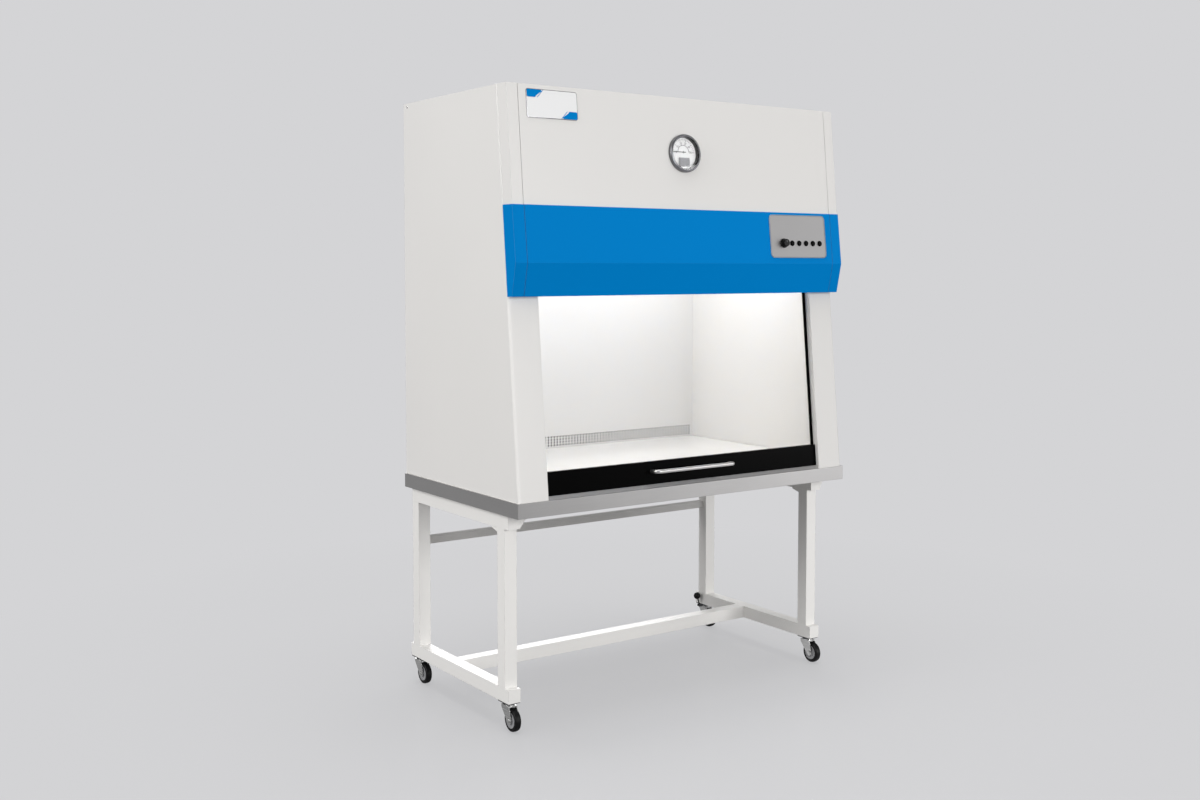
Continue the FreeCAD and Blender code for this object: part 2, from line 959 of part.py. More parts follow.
def make_gauge():
    bezel = s.bezel_radius
    depth = s.bezel_depth
    inside = s.dial_radius + s.running_gap
    case = turned("gauge_case", [
        (0, -s.cup_depth),
        (s.cup_radius, -s.cup_depth),
        (s.cup_radius, 0),
        (bezel, 0),
        *eased(bezel, depth, s.bezel_round, s.bezel_round),
        (inside, depth),
        (inside, -s.dial_set),
        (0, -s.dial_set),
    ])
    keep("gauge_case", hood_face.seat(case))
    dial_top = s.dial_plate - s.dial_set
    plate = cylinder_on(hood_face, "dial_plate", 0, 0, -s.dial_set, s.dial_radius, s.dial_plate)
    seat_out = dial_top - s.dial_plate / 2
    pin = cylinder_on(hood_face, "dial_pin", 0, s.pivot_rise, seat_out, s.pivot_radius, s.pin_length)
    guard = block_on(
        hood_face, "dial_guard", 0, -s.guard_drop, seat_out, (s.guard_width, s.guard_length, s.guard_plate)
    )
    keep("gauge_dial", fuse("gauge_dial", plate, pin, guard))
    pointer_out = dial_top + s.pointer_lift
    hub = cylinder_on(
        hood_face, "pointer_hub", 0, s.pivot_rise, pointer_out, s.pointer_hub, 2 * s.pointer_plate
    )
    blade = block_on(
        hood_face, "pointer_blade", (s.pointer_tail - s.pointer_length) / 2, s.pivot_rise, pointer_out,
        (s.pointer_length + s.pointer_tail, s.pointer_width, s.pointer_plate),
    )
    bore = cylinder_on(
        hood_face, "pointer_bore", 0, s.pivot_rise, dial_top, s.pivot_radius + s.fit_gap, 2 * s.pin_length
    )
    keep("gauge_pointer", cut("gauge_pointer", fuse("pointer_solid", hub, blade), bore))
    lens_out = depth - s.lens_set - s.lens_plate
    lens = cylinder_on(hood_face, "gauge_lens", 0, 0, lens_out, s.dial_radius, s.lens_plate)
    keep("gauge_lens", lens)


# Control plate, knob and buttons

def make_controls():
    face = on_fascia(half_shell - s.control_set, s.control_height)
    plain = block_on(face, "control_blank", 0, 0, 0, (s.control_width, s.control_length, s.control_plate))

    def is_corner(edge):
        return abs(edge.Length - s.control_plate.value) < 0.01

    holes = []
    for number in range(5):
        button_face = on_fascia(first_button_x + s.button_pitch * number, s.key_height)
        holes.append(cylinder_on(
            button_face, f"button_hole_{number}", 0, 0, -1, s.button_radius + s.fit_gap, s.control_plate + 2
        ))
        button = cylinder_on(
            button_face, f"button_{number + 1}", 0, 0, s.control_plate + s.button_proud - s.button_length,
            s.button_radius, s.button_length,
        )
        keep(f"button_{number + 1}", button)
    knob_face = on_fascia(knob_x, s.key_height)
    bore = s.spindle_radius + s.fit_gap
    holes.append(cylinder_on(knob_face, "spindle_hole", 0, 0, -1, bore, s.control_plate + 2))
    plate = rounded("control_round", plain, s.control_corner, is_corner)
    keep("control_plate", cut("control_plate", plate, *holes))
    base = s.control_plate + s.running_gap
    top = base + s.knob_depth
    grip = s.knob_radius - s.knob_taper
    grip_base = base + s.knob_skirt + s.knob_taper / 2
    knob = turned("speed_knob", [
        (0, s.control_plate - s.spindle_length),
        (s.spindle_radius, s.control_plate - s.spindle_length),
        (s.spindle_radius, base),
        (s.knob_radius, base),
        (s.knob_radius, base + s.knob_skirt),
        (grip, grip_base),
        *eased(grip - s.knob_taper / 2, top, s.knob_round, s.knob_round),
        (0, top),
    ])
    keep("speed_knob", knob_face.seat(knob))


# Filter, lamp and blower

filter_half = half_chamber + s.filter_overlap


def make_filter():
    """A deep frame round one long sheet of media, folded up and down in pleats."""
    front = from_front(s.filter_depth_front)
    depth = chamber_back + s.metal - front
    wall = s.filter_wall
    frame = block(
        "filter_block", (-filter_half, front, s.chamber_top), (2 * filter_half, depth, s.filter_height)
    )
    window = block(
        "filter_window",
        (wall - filter_half, front + wall, s.chamber_top - 1),
        (2 * (filter_half - wall), depth - 2 * wall, s.filter_height + 2),
    )
    half = filter_half - wall
    count = int(s.filter_pleats.value)
    pitch = 2 * half / count
    low = s.chamber_top + s.filter_margin
    high = s.chamber_top + s.filter_height - s.filter_margin - s.filter_sheet
    pleats = prism(
        "filter_pleats",
        [
            (-half, low),
            (pitch / 2 - half, high),
            (pitch - half, low),
            (pitch - half, low + s.filter_sheet),
            (pitch / 2 - half, high + s.filter_sheet),
            (-half, low + s.filter_sheet),
        ],
        front + wall,
        depth - 2 * wall,
        "Y",
    )
    pleat = pleats.Tip
    row = pleats.newObject("PartDesign::LinearPattern", "FilterPleatRow")
    row.Originals = [pleat]
    row.Direction = (pleat.Profile[0], ["H_Axis"])
    row.Occurrences = count
    bind(row, "Length", pitch * (count - 1))
    pleats.Tip = row
    keep("hepa_filter", group("hepa_filter", cut("filter_frame", frame, window), pleats))


def make_lamp():
    y = from_front(s.lamp_depth)
    half = half_chamber - s.running_gap
    start = (s.lamp_cap_length - half, y, s.lamp_height)
    tube = rod("lamp_tube", start, s.lamp_radius, 2 * (half - s.lamp_cap_length), "X")
    caps = []
    for side_name, side in SIDES.items():
        start = (sided(side, half - s.lamp_cap_length, half), y, s.lamp_height)
        caps.append(rod(f"lamp_cap_{side_name}", start, s.lamp_cap_radius, s.lamp_cap_length, "X"))
    keep("lamp", group("lamp", tube, *caps))


filter_top = s.chamber_top + s.filter_height
blower_z = s.roof_top - s.blower_drop
blower_y = from_front(s.blower_depth)


def quarter(label, start, centre, radius, length, turn):
    """A quarter of a drum along X: rear of its centre and below it, then turned about X."""
    item = new("Part::Cylinder", label)
    bind(item, "Radius", radius)
    bind(item, "Height", length)
    item.Angle = 90
    item.Placement = Placement(Vector(), Rotation(Vector(1, 0, 0), turn).multiply(TURNS["X"]))
    place(item, start, *centre)
    return item


def scroll_form(label, inset, start, length):
    """A spiral of three quarters, each a step wider than the last, and a straight outlet down."""
    step = s.scroll_step
    half = step / 2
    radius = s.scroll_start - inset
    near_y = blower_y - half
    far_y = blower_y + half
    low_z = blower_z - half
    high_z = blower_z + half
    return [
        quarter(f"{label}_front", start, (near_y, high_z), radius, length, 270),
        quarter(f"{label}_top", start, (far_y, high_z), radius + step, length, 180),
        quarter(f"{label}_rear", start, (far_y, low_z), radius + 2 * step, length, 90),
        block(f"{label}_middle", (start, near_y, low_z), (length, step, step)),
        block(
            f"{label}_outlet",
            (start, near_y + inset, filter_top),
            (length, radius + 3 * step - inset, low_z - filter_top),
        ),
    ]


def make_housing():
    """A spiral casing of sheet on a plate over the filter, with a round eye on its left."""
    half = s.scroll_width / 2
    front = from_front(s.filter_depth_front)
    plate = block(
        "plenum_plate",
        (-filter_half, front, filter_top),
        (2 * filter_half, chamber_back + s.metal - front, s.metal),
    )
    outer = fuse("scroll_solid", plate, *scroll_form("scroll_outer", as_size(0), -half, s.scroll_width))
    inner_start = s.metal - half
    inner_length = s.scroll_width - 2 * s.metal
    inner = scroll_form("scroll_inner", s.metal, inner_start, inner_length)
    swirl_radius = s.scroll_start - s.scroll_step / 2 - s.metal
    swirl = rod("scroll_swirl", (inner_start, blower_y, blower_z), swirl_radius, inner_length, "X")
    throat = block(
        "scroll_throat",
        (inner_start, blower_y - s.scroll_step / 2 + s.metal, filter_top - 1),
        (inner_length, s.scroll_start + 3 * s.scroll_step - 2 * s.metal, s.metal + 2),
    )
    eye = rod("scroll_eye", (-half - 1, blower_y, blower_z), s.scroll_inlet, s.metal + 2, "X")
    shaft_start = (half - s.metal - 1, blower_y, blower_z)
    shaft_hole = rod("scroll_shaft_hole", shaft_start, 2 * s.shaft_radius, s.metal + 2, "X")
    keep("blower_housing", cut("blower_housing", outer, *inner, swirl, throat, eye, shaft_hole))


def blade_section():
    """A thin blade that leaves the eye straight and curls forwards to the rim."""
    inner = s.wheel_eye_radius + s.wheel_lip
    reach = s.rotor_radius - s.wheel_lip - inner
    steps = 4
    rear_side = []
    front_side = []
    for step in range(steps + 1):
        share = step / steps
        out = inner + reach * share
        curl = s.blade_reach * (-share * share)
        rear_side.append((out, curl))
        front_side.append((out, curl - s.blade_thickness))
    return rear_side + front_side[::-1]


def make_wheel():
    """Curled blades between a ring round the eye and a driven disc, on a boss and shaft."""
    half = s.scroll_width / 2
    low = s.metal + s.wheel_gap - half
    high = half - s.metal - s.wheel_gap
    cage = new("PartDesign::Body", "wheel_cage")
    disc = cage.newObject("PartDesign::Pad", "WheelDisc")
    disc_sketch = round_sketch(
        cage, "DiscSection", "YZ_Plane", s.rotor_radius, [(0, 0)], high - s.wheel_disc
    )
    disc.Profile = disc_sketch
    bind(disc, "Length", s.wheel_disc)
    blade = cage.newObject("PartDesign::Pad", "WheelBlade")
    blade.Profile = outline(cage, "BladeSection", "YZ_Plane", blade_section(), low)
    bind(blade, "Length", high - low)
    blades = cage.newObject("PartDesign::PolarPattern", "WheelBladeRow")
    blades.Originals = [blade]
    blades.Axis = (disc_sketch, ["N_Axis"])
    blades.Angle = 360
    blades.Occurrences = int(s.blade_count.value)
    cage.Tip = blades
    place(cage, 0, blower_y, blower_z)
    ring = cut(
        "wheel_ring",
        rod("wheel_ring_outer", (low, blower_y, blower_z), s.rotor_radius, s.wheel_ring, "X"),
        rod("wheel_ring_inner", (low - 1, blower_y, blower_z), s.wheel_eye_radius, s.wheel_ring + 2, "X"),
    )
    boss_start = high - s.boss_length
    boss = rod("wheel_boss", (boss_start, blower_y, blower_z), s.boss_radius, s.boss_length, "X")
    shaft_start = boss_start - s.shaft_nose
    shaft_end = half + s.motor_length - 2 * s.motor_end
    shaft = rod("wheel_shaft", (shaft_start, blower_y, blower_z), s.shaft_radius, shaft_end - shaft_start, "X")
    keep("blower_wheel", fuse("blower_wheel", cage, ring, boss, shaft))


def make_motor():
    start = (s.scroll_width / 2, blower_y, blower_z)
    can = rod("motor_can", start, s.motor_radius, s.motor_length, "X")
    flange = rod("motor_flange", start, s.motor_radius + s.motor_flange, s.motor_flange_depth, "X")
    bore_radius = s.shaft_radius + s.fit_gap
    bore_start = (s.scroll_width / 2 - 1, blower_y, blower_z)
    bore = rod("motor_bore", bore_start, bore_radius, s.motor_length - s.motor_end + 1, "X")
    keep("blower_motor", cut("blower_motor", fuse("motor_solid", can, flange), bore))


# Stand of square tube

def tube_along(name, low, section, length, axis):
    """A square tube with closed ends, from its lowest corner along an axis."""
    lengths = {letter: section for letter in "XYZ"}
    lengths[axis] = length
    skin = block(f"{name}_skin", low, [lengths[letter] for letter in "XYZ"])
    bore = block(
        f"{name}_bore",
        [corner + s.tube_wall for corner in low],
        [lengths[letter] - 2 * s.tube_wall for letter in "XYZ"],
    )
    keep(name, cut(name, skin, bore))


rail_front = from_front(s.rail_front)
rail_rear = from_front(s.tray_depth)
leg_fronts = {
    "front": from_front(s.leg_front),
    "rear": rail_rear - s.leg_rear_set - s.tube,
}


def make_stand():
    tube = s.tube
    leg_base = s.rail_base + tube
    rail_length = rail_rear - rail_front
    for side_name, side in SIDES.items():
        low = sided(side, half_stand - tube, half_stand)
        bottom_low = (low, rail_front, s.rail_base)
        tube_along(f"stand_bottom_rail_{side_name}", bottom_low, tube, rail_length, "Y")
        top_low = (low, rail_front, top_rail_top - tube)
        tube_along(f"stand_top_rail_{side_name}", top_low, tube, rail_length - s.top_rail_rear_set, "Y")
        for end, y in leg_fronts.items():
            name = f"stand_leg_{end}_{side_name}"
            tube_along(name, (low, y, leg_base), tube, top_rail_top - tube - leg_base, "Z")
    inner = half_stand - tube
    tube_along("stand_cross_rail", (-inner, from_front(s.cross_depth), s.rail_base), tube, 2 * inner, "X")
    thin = s.rear_rail_size
    thin_low = (-inner, leg_fronts["rear"] + tube - thin, s.rear_rail_base)
    tube_along("stand_rear_rail", thin_low, thin, 2 * inner, "X")


# Swivel casters

kingpins = {"front": rail_front + s.kingpin_set, "rear": rail_rear - s.kingpin_set}
race_top = s.rail_base - s.plate_thickness
race_base = race_top - s.race_depth
fork_race_top = race_base - s.running_gap
crown_top = fork_race_top - s.race_lower_depth
crown_base = crown_top - s.crown_thickness


def make_caster(end, side_name, side):
    """One caster: its top plate, fork, wheel and axle. Returns the plate's solid."""
    place_name = f"{end}_{side_name}"
    x = side * (half_stand - s.tube / 2)
    y = kingpins[end]
    axle_y = y - s.caster_trail
    axle_z = s.wheel_radius
    plate = block(
        f"plate_{place_name}",
        (x - s.tube / 2, y - s.plate_length / 2, race_top),
        (s.tube, s.plate_length, s.plate_thickness),
    )
    race = rod(f"race_{place_name}", (x, y, race_base), s.race_radius, s.race_depth + 1)
    head_base = crown_base - s.running_gap - s.kingpin_head_depth
    pin = rod(f"kingpin_{place_name}", (x, y, head_base), s.kingpin_radius, race_top - head_base)
    head = rod(f"kingpin_head_{place_name}", (x, y, head_base), s.kingpin_head, s.kingpin_head_depth)
    plate_pieces = [plate, race, pin, head]
    if end == "rear" and side_name == "right":
        plate_pieces += lever_ears(x, y, side)

    outer = s.fork_gap + 2 * s.fork_plate
    arm = prism(
        f"fork_arms_{place_name}",
        [
            (y - s.fork_half_length, crown_top),
            (y + s.fork_half_length, crown_top),
            (y + s.fork_half_length, crown_base - s.fork_cheek),
            (axle_y + s.fork_end * 0.8, axle_z - s.fork_end * 0.6),
            (axle_y - s.fork_end, axle_z),
            (y - s.fork_half_length - s.fork_sweep, crown_base - 2 * s.fork_cheek),
        ],
        x - outer / 2,
        outer,
    )
    arm_end = rod(f"fork_end_{place_name}", (x - outer / 2, axle_y, axle_z), s.fork_end, outer, "X")
    race_length = fork_race_top - crown_top + 1
    fork_race = rod(f"fork_race_{place_name}", (x, y, crown_top - 1), s.race_radius, race_length)
    slot = block(
        f"fork_slot_{place_name}",
        (x - s.fork_gap / 2, y - 3 * s.wheel_radius, as_size(0)),
        (s.fork_gap, 6 * s.wheel_radius, crown_base),
    )
    pin_bore = s.kingpin_radius + s.fit_gap
    pin_hole = rod(f"pin_hole_{place_name}", (x, y, crown_base - 1), pin_bore, fork_race_top - crown_base + 2)
    axle_hole = rod(f"axle_hole_{place_name}", (x - outer, axle_y, axle_z), s.axle_radius, 2 * outer, "X")
    fork_solid = fuse(f"fork_solid_{place_name}", arm, arm_end, fork_race)
    fork = cut(f"fork_{place_name}", fork_solid, slot, pin_hole, axle_hole)
    head = s.axle_head_length
    bolt_start = x - outer / 2
    bolt = fuse(
        f"bolt_{place_name}",
        rod(f"bolt_shank_{place_name}", (bolt_start, axle_y, axle_z), s.axle_radius, outer, "X"),
        rod(f"bolt_head_{place_name}", (bolt_start - head, axle_y, axle_z), s.axle_head, head, "X"),
        rod(f"bolt_nut_{place_name}", (x + outer / 2, axle_y, axle_z), s.axle_head, head, "X"),
    )
    keep(f"caster_fork_{place_name}", group(f"caster_fork_{place_name}", fork, bolt))

    half = s.wheel_width / 2
    tyre_half = s.tyre_width / 2
    bore = s.axle_radius + s.fit_gap
    boss = bore + s.hub_boss
    rim = s.tyre_inner - s.hub_rim
    dish = tyre_half - s.hub_dish
    hub = turned(f"caster_hub_{place_name}", mirrored([
        (bore, half),
        (boss, half),
        (boss + s.hub_dish / 2, dish),
        (rim, dish),
        (rim + s.hub_dish / 2, tyre_half),
        (s.tyre_inner, tyre_half),
    ]))
    tread = eased(s.wheel_radius, tyre_half, s.tyre_round, s.tread_round)
    tyre = turned(f"caster_tyre_{place_name}", mirrored([(s.tyre_inner, tyre_half), *tread[::-1]]))
    for piece in (hub, tyre):
        piece.Placement = Placement(Vector(), TURNS["X"])
        place(piece, x, axle_y, axle_z)
        keep(piece.Label, piece)
    return fuse(f"caster_plate_{place_name}", *plate_pieces)


def lever_place(x, y, side):
    """Where the brake lever's pin lies: under the inner edge of the bottom rail."""
    return x - side * (s.tube / 2 + s.ear_reach - s.lever_hub), y, s.rail_base - s.lever_pin_drop


def lever_ears(x, y, side):
    pin_x, pin_y, pin_z = lever_place(x, y, side)
    inner = s.lever_hub_length / 2 + s.running_gap
    ears = []
    for number, low in enumerate((pin_y - inner - s.ear_thickness, pin_y + inner)):
        ears.append(block(
            f"lever_ear_{number}",
            (x - s.tube / 2 - s.ear_reach, low, pin_z - s.lever_pin - 2),
            (s.ear_reach + 1, s.ear_thickness, s.rail_base - pin_z + s.lever_pin + 2),
        ))
    pin = rod("lever_pin", (pin_x, pin_y - inner - 1, pin_z), s.lever_pin, 2 * inner + 2, "Y")
    return ears + [pin]


def make_brake_lever():
    pin_x, pin_y, pin_z = lever_place(half_stand - s.tube / 2, kingpins["rear"], 1)
    half = s.lever_hub_length / 2
    hub = rod("lever_hub", (pin_x, pin_y - half, pin_z), s.lever_hub, s.lever_hub_length, "Y")
    length = root(s.lever_rise * s.lever_rise + s.lever_lean * s.lever_lean)
    stem = new("Part::Cylinder", "lever_stem")
    bind(stem, "Radius", s.lever_rod)
    bind(stem, "Height", length)
    place(stem, pin_x, pin_y, pin_z)
    ball = new("Part::Sphere", "lever_ball")
    bind(ball, "Radius", s.lever_ball)
    place(ball, pin_x - s.lever_lean, pin_y, pin_z + s.lever_rise)
    lean = f"atan({(s.lever_lean / s.lever_rise).formula})"
    for piece in (stem, ball):
        base = piece.Placement.Base
        piece.Placement = Placement(base, Rotation(Vector(0, -1, 0), 10))
        piece.setExpression("Placement.Rotation.Angle", lean)
    bore_start = (pin_x, pin_y - half - 1, pin_z)
    bore = rod("lever_bore", bore_start, s.lever_pin + s.fit_gap, s.lever_hub_length + 2, "Y")
    keep("brake_lever", cut("brake_lever", fuse("lever_solid", hub, stem, ball), bore))


def make_casters():
    plates = []
    for side_name, side in SIDES.items():
        for end in ("front", "rear"):
            plates.append(make_caster(end, side_name, side))
    keep("caster_plates", group("caster_plates", *plates))


def check():
    """Stop if any feature failed or any piece is empty or faulty."""
    failed = [item.Label for item in doc.Objects if {"Invalid", "Error"} & set(item.State)]
    bad = [name for name, item in nodes.items() if item.Shape.isNull() or not item.Shape.isValid()]
    if failed or bad:
        raise RuntimeError(f"failed features: {failed}, faulty pieces: {bad}")


def write():
    os.makedirs("parts", exist_ok=True)
    for name, item in nodes.items():
        item.Shape.exportStep(os.path.join("parts", f"{name}.step"))


def build():
    make_tray()
    make_work_surface()
    for side_name, side in SIDES.items():
        make_side_panel(side_name, side)
        make_cheeks(side_name, side)
    make_inner_walls()
    make_back_wall()
    make_back_panel()
    make_power_inlet()
    make_roof()
    make_hood_and_fascia()
    make_sash()
    make_handle()
    make_gauge()
    make_controls()
    make_filter()
    make_lamp()
    make_housing()
    make_wheel()
    make_motor()
    make_stand()
    make_casters()
    make_brake_lever()
    doc.recompute()
    check()
    write()
    print(f"{len(nodes)} pieces written")


build()
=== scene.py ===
"""Finishes and fine pieces of a laminar flow cabinet on a wheeled stand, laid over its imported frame."""

import json
import math

import bpy
from mathutils import Matrix, Vector


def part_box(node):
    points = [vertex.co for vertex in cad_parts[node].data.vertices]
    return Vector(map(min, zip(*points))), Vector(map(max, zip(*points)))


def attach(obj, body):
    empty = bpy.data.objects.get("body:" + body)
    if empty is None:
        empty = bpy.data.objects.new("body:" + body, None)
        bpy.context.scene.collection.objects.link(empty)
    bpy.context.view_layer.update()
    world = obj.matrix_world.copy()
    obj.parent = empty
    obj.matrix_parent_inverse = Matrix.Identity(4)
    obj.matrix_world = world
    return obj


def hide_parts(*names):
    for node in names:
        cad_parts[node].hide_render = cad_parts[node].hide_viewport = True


bl_info = {
    "name": "Laminar Flow Cabinet",
    "version": (1, 0, 0),
    "blender": (4, 5, 0),
    "location": "3D View > Sidebar > Cabinet",
    "description": "Finishes, dial, controls and small fittings of a laminar flow cabinet",
    "category": "Object",
}

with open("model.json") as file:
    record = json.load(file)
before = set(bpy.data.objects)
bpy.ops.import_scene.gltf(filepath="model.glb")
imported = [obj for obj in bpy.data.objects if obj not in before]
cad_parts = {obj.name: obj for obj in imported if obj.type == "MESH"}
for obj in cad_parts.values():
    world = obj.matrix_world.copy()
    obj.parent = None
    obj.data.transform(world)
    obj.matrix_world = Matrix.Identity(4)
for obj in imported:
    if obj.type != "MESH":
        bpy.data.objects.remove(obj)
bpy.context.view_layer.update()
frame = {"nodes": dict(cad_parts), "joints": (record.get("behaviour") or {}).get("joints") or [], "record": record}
joints = {joint["name"]: joint for joint in frame["joints"]}
node_slots = {row["node"]: row["material_slot"] for row in frame["record"]["subparts"]}

SIDES = {"left": -1, "right": 1}
ROOT = "cabinet"
BUTTONS = range(1, 6)
SMOOTH_ANGLE = math.radians(35)
SAME_PLACE = 1e-6
MERGE_WITHIN = 0.00001
FULL_FRAME = 36.0


# Settings that a user may change

def length(name, description, default):
    return bpy.props.FloatProperty(
        name=name, description=description, default=default, min=0.0, subtype="DISTANCE", unit="LENGTH"
    )


def colour(name, description, default):
    return bpy.props.FloatVectorProperty(
        name=name, description=description, default=default, size=3, min=0.0, max=1.0, subtype="COLOR"
    )


def degrees(name, description, default):
    return bpy.props.FloatProperty(
        name=name, description=description, default=math.radians(default), subtype="ANGLE"
    )


def power(name, description, default):
    return bpy.props.FloatProperty(name=name, description=description, default=default, unit="POWER")


def strength(name, description, default):
    return bpy.props.FloatProperty(name=name, description=description, default=default, min=0.0)


class CabinetSizes(bpy.types.PropertyGroup):
    """Sizes of the fine pieces"""

    hole_pitch: length("Hole pitch", "Distance between return-air holes in a row", 0.0125)
    row_pitch: length("Row pitch", "Distance between rows of return-air holes", 0.0098)
    hole_radius: length("Hole radius", "Radius of a return-air hole", 0.0037)
    hole_rows: bpy.props.IntProperty(name="Hole rows", description="Rows of return-air holes", default=4)
    strip_base: length("Strip base", "Height of the lowest row's middle above the floor", 0.7545)
    badge_width: length("Badge width", "Width of the bare badge plate", 0.178)
    badge_height: length("Badge height", "Height of the bare badge plate", 0.085)
    badge_set: length("Badge set", "From the cabinet's left edge to the badge's middle", 0.155)
    badge_drop: length("Badge drop", "From the roof to the badge's middle", 0.0555)
    badge_plate: length("Badge thickness", "Thickness of the badge plate", 0.0016)
    tick_radius: length("Tick radius", "Outer radius of the dial's scale", 0.0465)
    arc_radius: length("Arc radius", "Radius of the half circle on the dial", 0.022)
    border_width: length("Border width", "Width of the control plate's light border", 0.0024)
    screw_radius: length("Screw radius", "Radius of a screw's head", 0.0040)
    bracket_reach: length("Bracket reach", "Reach of a corner bracket along its rail", 0.032)
    bracket_drop: length("Bracket drop", "How far a corner bracket runs down", 0.014)
    side_reach: length("Side bracket reach", "Reach of a bracket beside a rail's front end", 0.028)
    bracket_tip: length("Bracket tip", "Height of a bracket's blunt tip", 0.005)


class CabinetFinishes(bpy.types.PropertyGroup):
    """Colours of the finishes"""

    shell: colour("Shell paint", "Powder coat of the shell", (0.75, 0.736, 0.716))
    stand: colour("Stand paint", "Powder coat of the stand", (0.825, 0.811, 0.788))
    chamber: colour("Chamber paint", "Coat of the work chamber", (0.83, 0.82, 0.805))
    blue: colour("Fascia blue", "Coat of the blue fascia", (0.0, 0.192, 0.53))
    steel: colour("Steel", "Brushed stainless steel", (0.60, 0.59, 0.58))
    aluminium: colour("Aluminium", "Satin aluminium of the control plate", (0.68, 0.67, 0.66))
    backdrop: colour("Backdrop", "Backdrop and floor tone", (0.658, 0.658, 0.672))


class StudioSettings(bpy.types.PropertyGroup):
    """Camera and lamps"""

    camera_place: bpy.props.FloatVectorProperty(
        name="Camera place", description="Where the camera stands", default=(-2.6336, -3.5954, 1.3849),
        size=3, subtype="TRANSLATION", unit="LENGTH",
    )
    camera_yaw: degrees("Camera yaw", "Turn to the right of straight ahead", 34.957)
    camera_pitch: degrees("Camera pitch", "Tilt above the horizon", -3.118)
    camera_lens: bpy.props.FloatProperty(
        name="Lens", description="Focal length in millimetres", default=39.77, min=1.0,
        subtype="DISTANCE_CAMERA",
    )
    camera_shift: bpy.props.FloatProperty(
        name="Shift", description="Upward shift of the lens, as a share of the width", default=-0.05
    )
    side_power: power("Side power", "Power of the large lamp on the left", 600.0)
    top_power: power("Top power", "Power of the wide lamp overhead", 210.0)
    front_power: power("Front power", "Power of the lamp in front", 345.0)
    right_power: power("Right power", "Power of the lamp in front, far to the right", 130.0)
    rear_power: power("Rear power", "Power of the lamp behind", 200.0)
    ambient: strength("Ambient", "Strength of the even light from all round", 0.40)
    chamber_glow: strength("Chamber glow", "Strength of the cabinet's own lamp tube", 9.0)
    chamber_power: power("Chamber power", "Power of the light that falls through the filter", 4.35)


# Modelling by operators

def start(add, name, **where):
    """Add a primitive with nothing else selected, and name it."""
    if bpy.context.object and bpy.context.object.mode != "OBJECT":
        bpy.ops.object.mode_set(mode="OBJECT")
    bpy.ops.object.select_all(action="DESELECT")
    add(**where)
    piece = bpy.context.object
    piece.name = name
    piece.data.name = name
    return piece


MODES = {"vertices": (True, False, False), "edges": (False, True, False), "polygons": (False, False, True)}


def pick(piece, kind, test):
    """Enter edit mode with only the elements that a test picks selected."""
    if piece.mode != "OBJECT":
        bpy.ops.object.mode_set(mode="OBJECT")
    mesh = piece.data
    for elements in (mesh.vertices, mesh.edges, mesh.polygons):
        elements.foreach_set("select", [False] * len(elements))
    for element in getattr(mesh, kind):
        element.select = test(element)
    bpy.context.tool_settings.mesh_select_mode = MODES[kind]
    bpy.ops.object.mode_set(mode="EDIT")


def pick_edges_at(piece, axis, level, slack):
    """Enter edit mode with only the edges selected that lie at a level along an axis."""
    pick(piece, "edges", lambda edge: all(
        abs(piece.data.vertices[end].co[axis] - level) < slack for end in edge.vertices
    ))


def every(piece):
    """Enter edit mode with all of a piece selected."""
    pick(piece, "vertices", lambda vertex: True)


def leave():
    bpy.ops.object.mode_set(mode="OBJECT")


def outward():
    """Merge doubles and turn all faces outwards, then leave edit mode."""
    bpy.ops.mesh.select_all(action="SELECT")
    bpy.ops.mesh.remove_doubles(threshold=MERGE_WITHIN)
    bpy.ops.mesh.normals_make_consistent(inside=False)
    leave()


def extrude_by(height):
    """Extrude what is selected along Z."""
    bpy.ops.mesh.extrude_region_move(TRANSFORM_OT_translate={"value": (0, 0, height)})


def only(*pieces):
    """Select these objects alone, the first one active."""
    bpy.ops.object.select_all(action="DESELECT")
    for piece in pieces:
        piece.select_set(True)
    bpy.context.view_layer.objects.active = pieces[0]


def settle(piece, place):
    """Move a piece by a matrix and keep its object at the origin."""
    only(piece)
    piece.matrix_world = place @ piece.matrix_world
    bpy.ops.object.transform_apply(location=True, rotation=True, scale=True)


def shape(piece, kind, **settings):
    """Add a modifier and apply it."""
    only(piece)
    modifier = piece.modifiers.new(kind.title(), kind)
    for name, value in settings.items():
        setattr(modifier, name, value)
    bpy.ops.object.modifier_apply(modifier=modifier.name)


def copy_of(piece, name, place):
    """A copy with its own mesh, moved by a matrix."""
    only(piece)
    bpy.ops.object.duplicate(linked=False)
    twin = bpy.context.object
    twin.name = name
    twin.data.name = name
    settle(twin, place)
    return twin


def join(name, pieces):
    """Join pieces into one object."""
    only(*pieces)
    bpy.ops.object.join()
    joined = bpy.context.object
    joined.name = name
    joined.data.name = name
    return joined


def dress(piece, finish, body=ROOT, stands_for=()):
    """Give a finished piece its finish and its body, and hide the nodes that it stands for."""
    only(piece)
    bpy.ops.object.shade_smooth_by_angle(angle=SMOOTH_ANGLE)
    piece.data.materials.clear()
    piece.data.materials.append(finishes[finish])
    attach(piece, body)
    if stands_for:
        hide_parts(*stands_for)
    return piece


def turned(name, profile, sides=32, base=True, top=True):
    """A turned piece about Z, drawn up ring by ring from a circle through radii and heights."""
    (radius, height), *rings = profile
    piece = start(
        bpy.ops.mesh.primitive_circle_add, name, vertices=sides, radius=radius,
        fill_type="NGON" if base else "NOTHING",
    )
    every(piece)
    bpy.ops.transform.translate(value=(0, 0, height))
    if base:
        pick(piece, "edges", lambda edge: True)
    for next_radius, next_height in rings:
        bpy.ops.mesh.extrude_edges_move(
            TRANSFORM_OT_translate={"value": (0, 0, next_height - height)}
        )
        share = next_radius / radius
        bpy.ops.transform.resize(value=(share, share, 1), center_override=(0, 0, next_height))
        radius, height = next_radius, next_height
    if top:
        bpy.ops.mesh.edge_face_add()
    outward()
    return piece


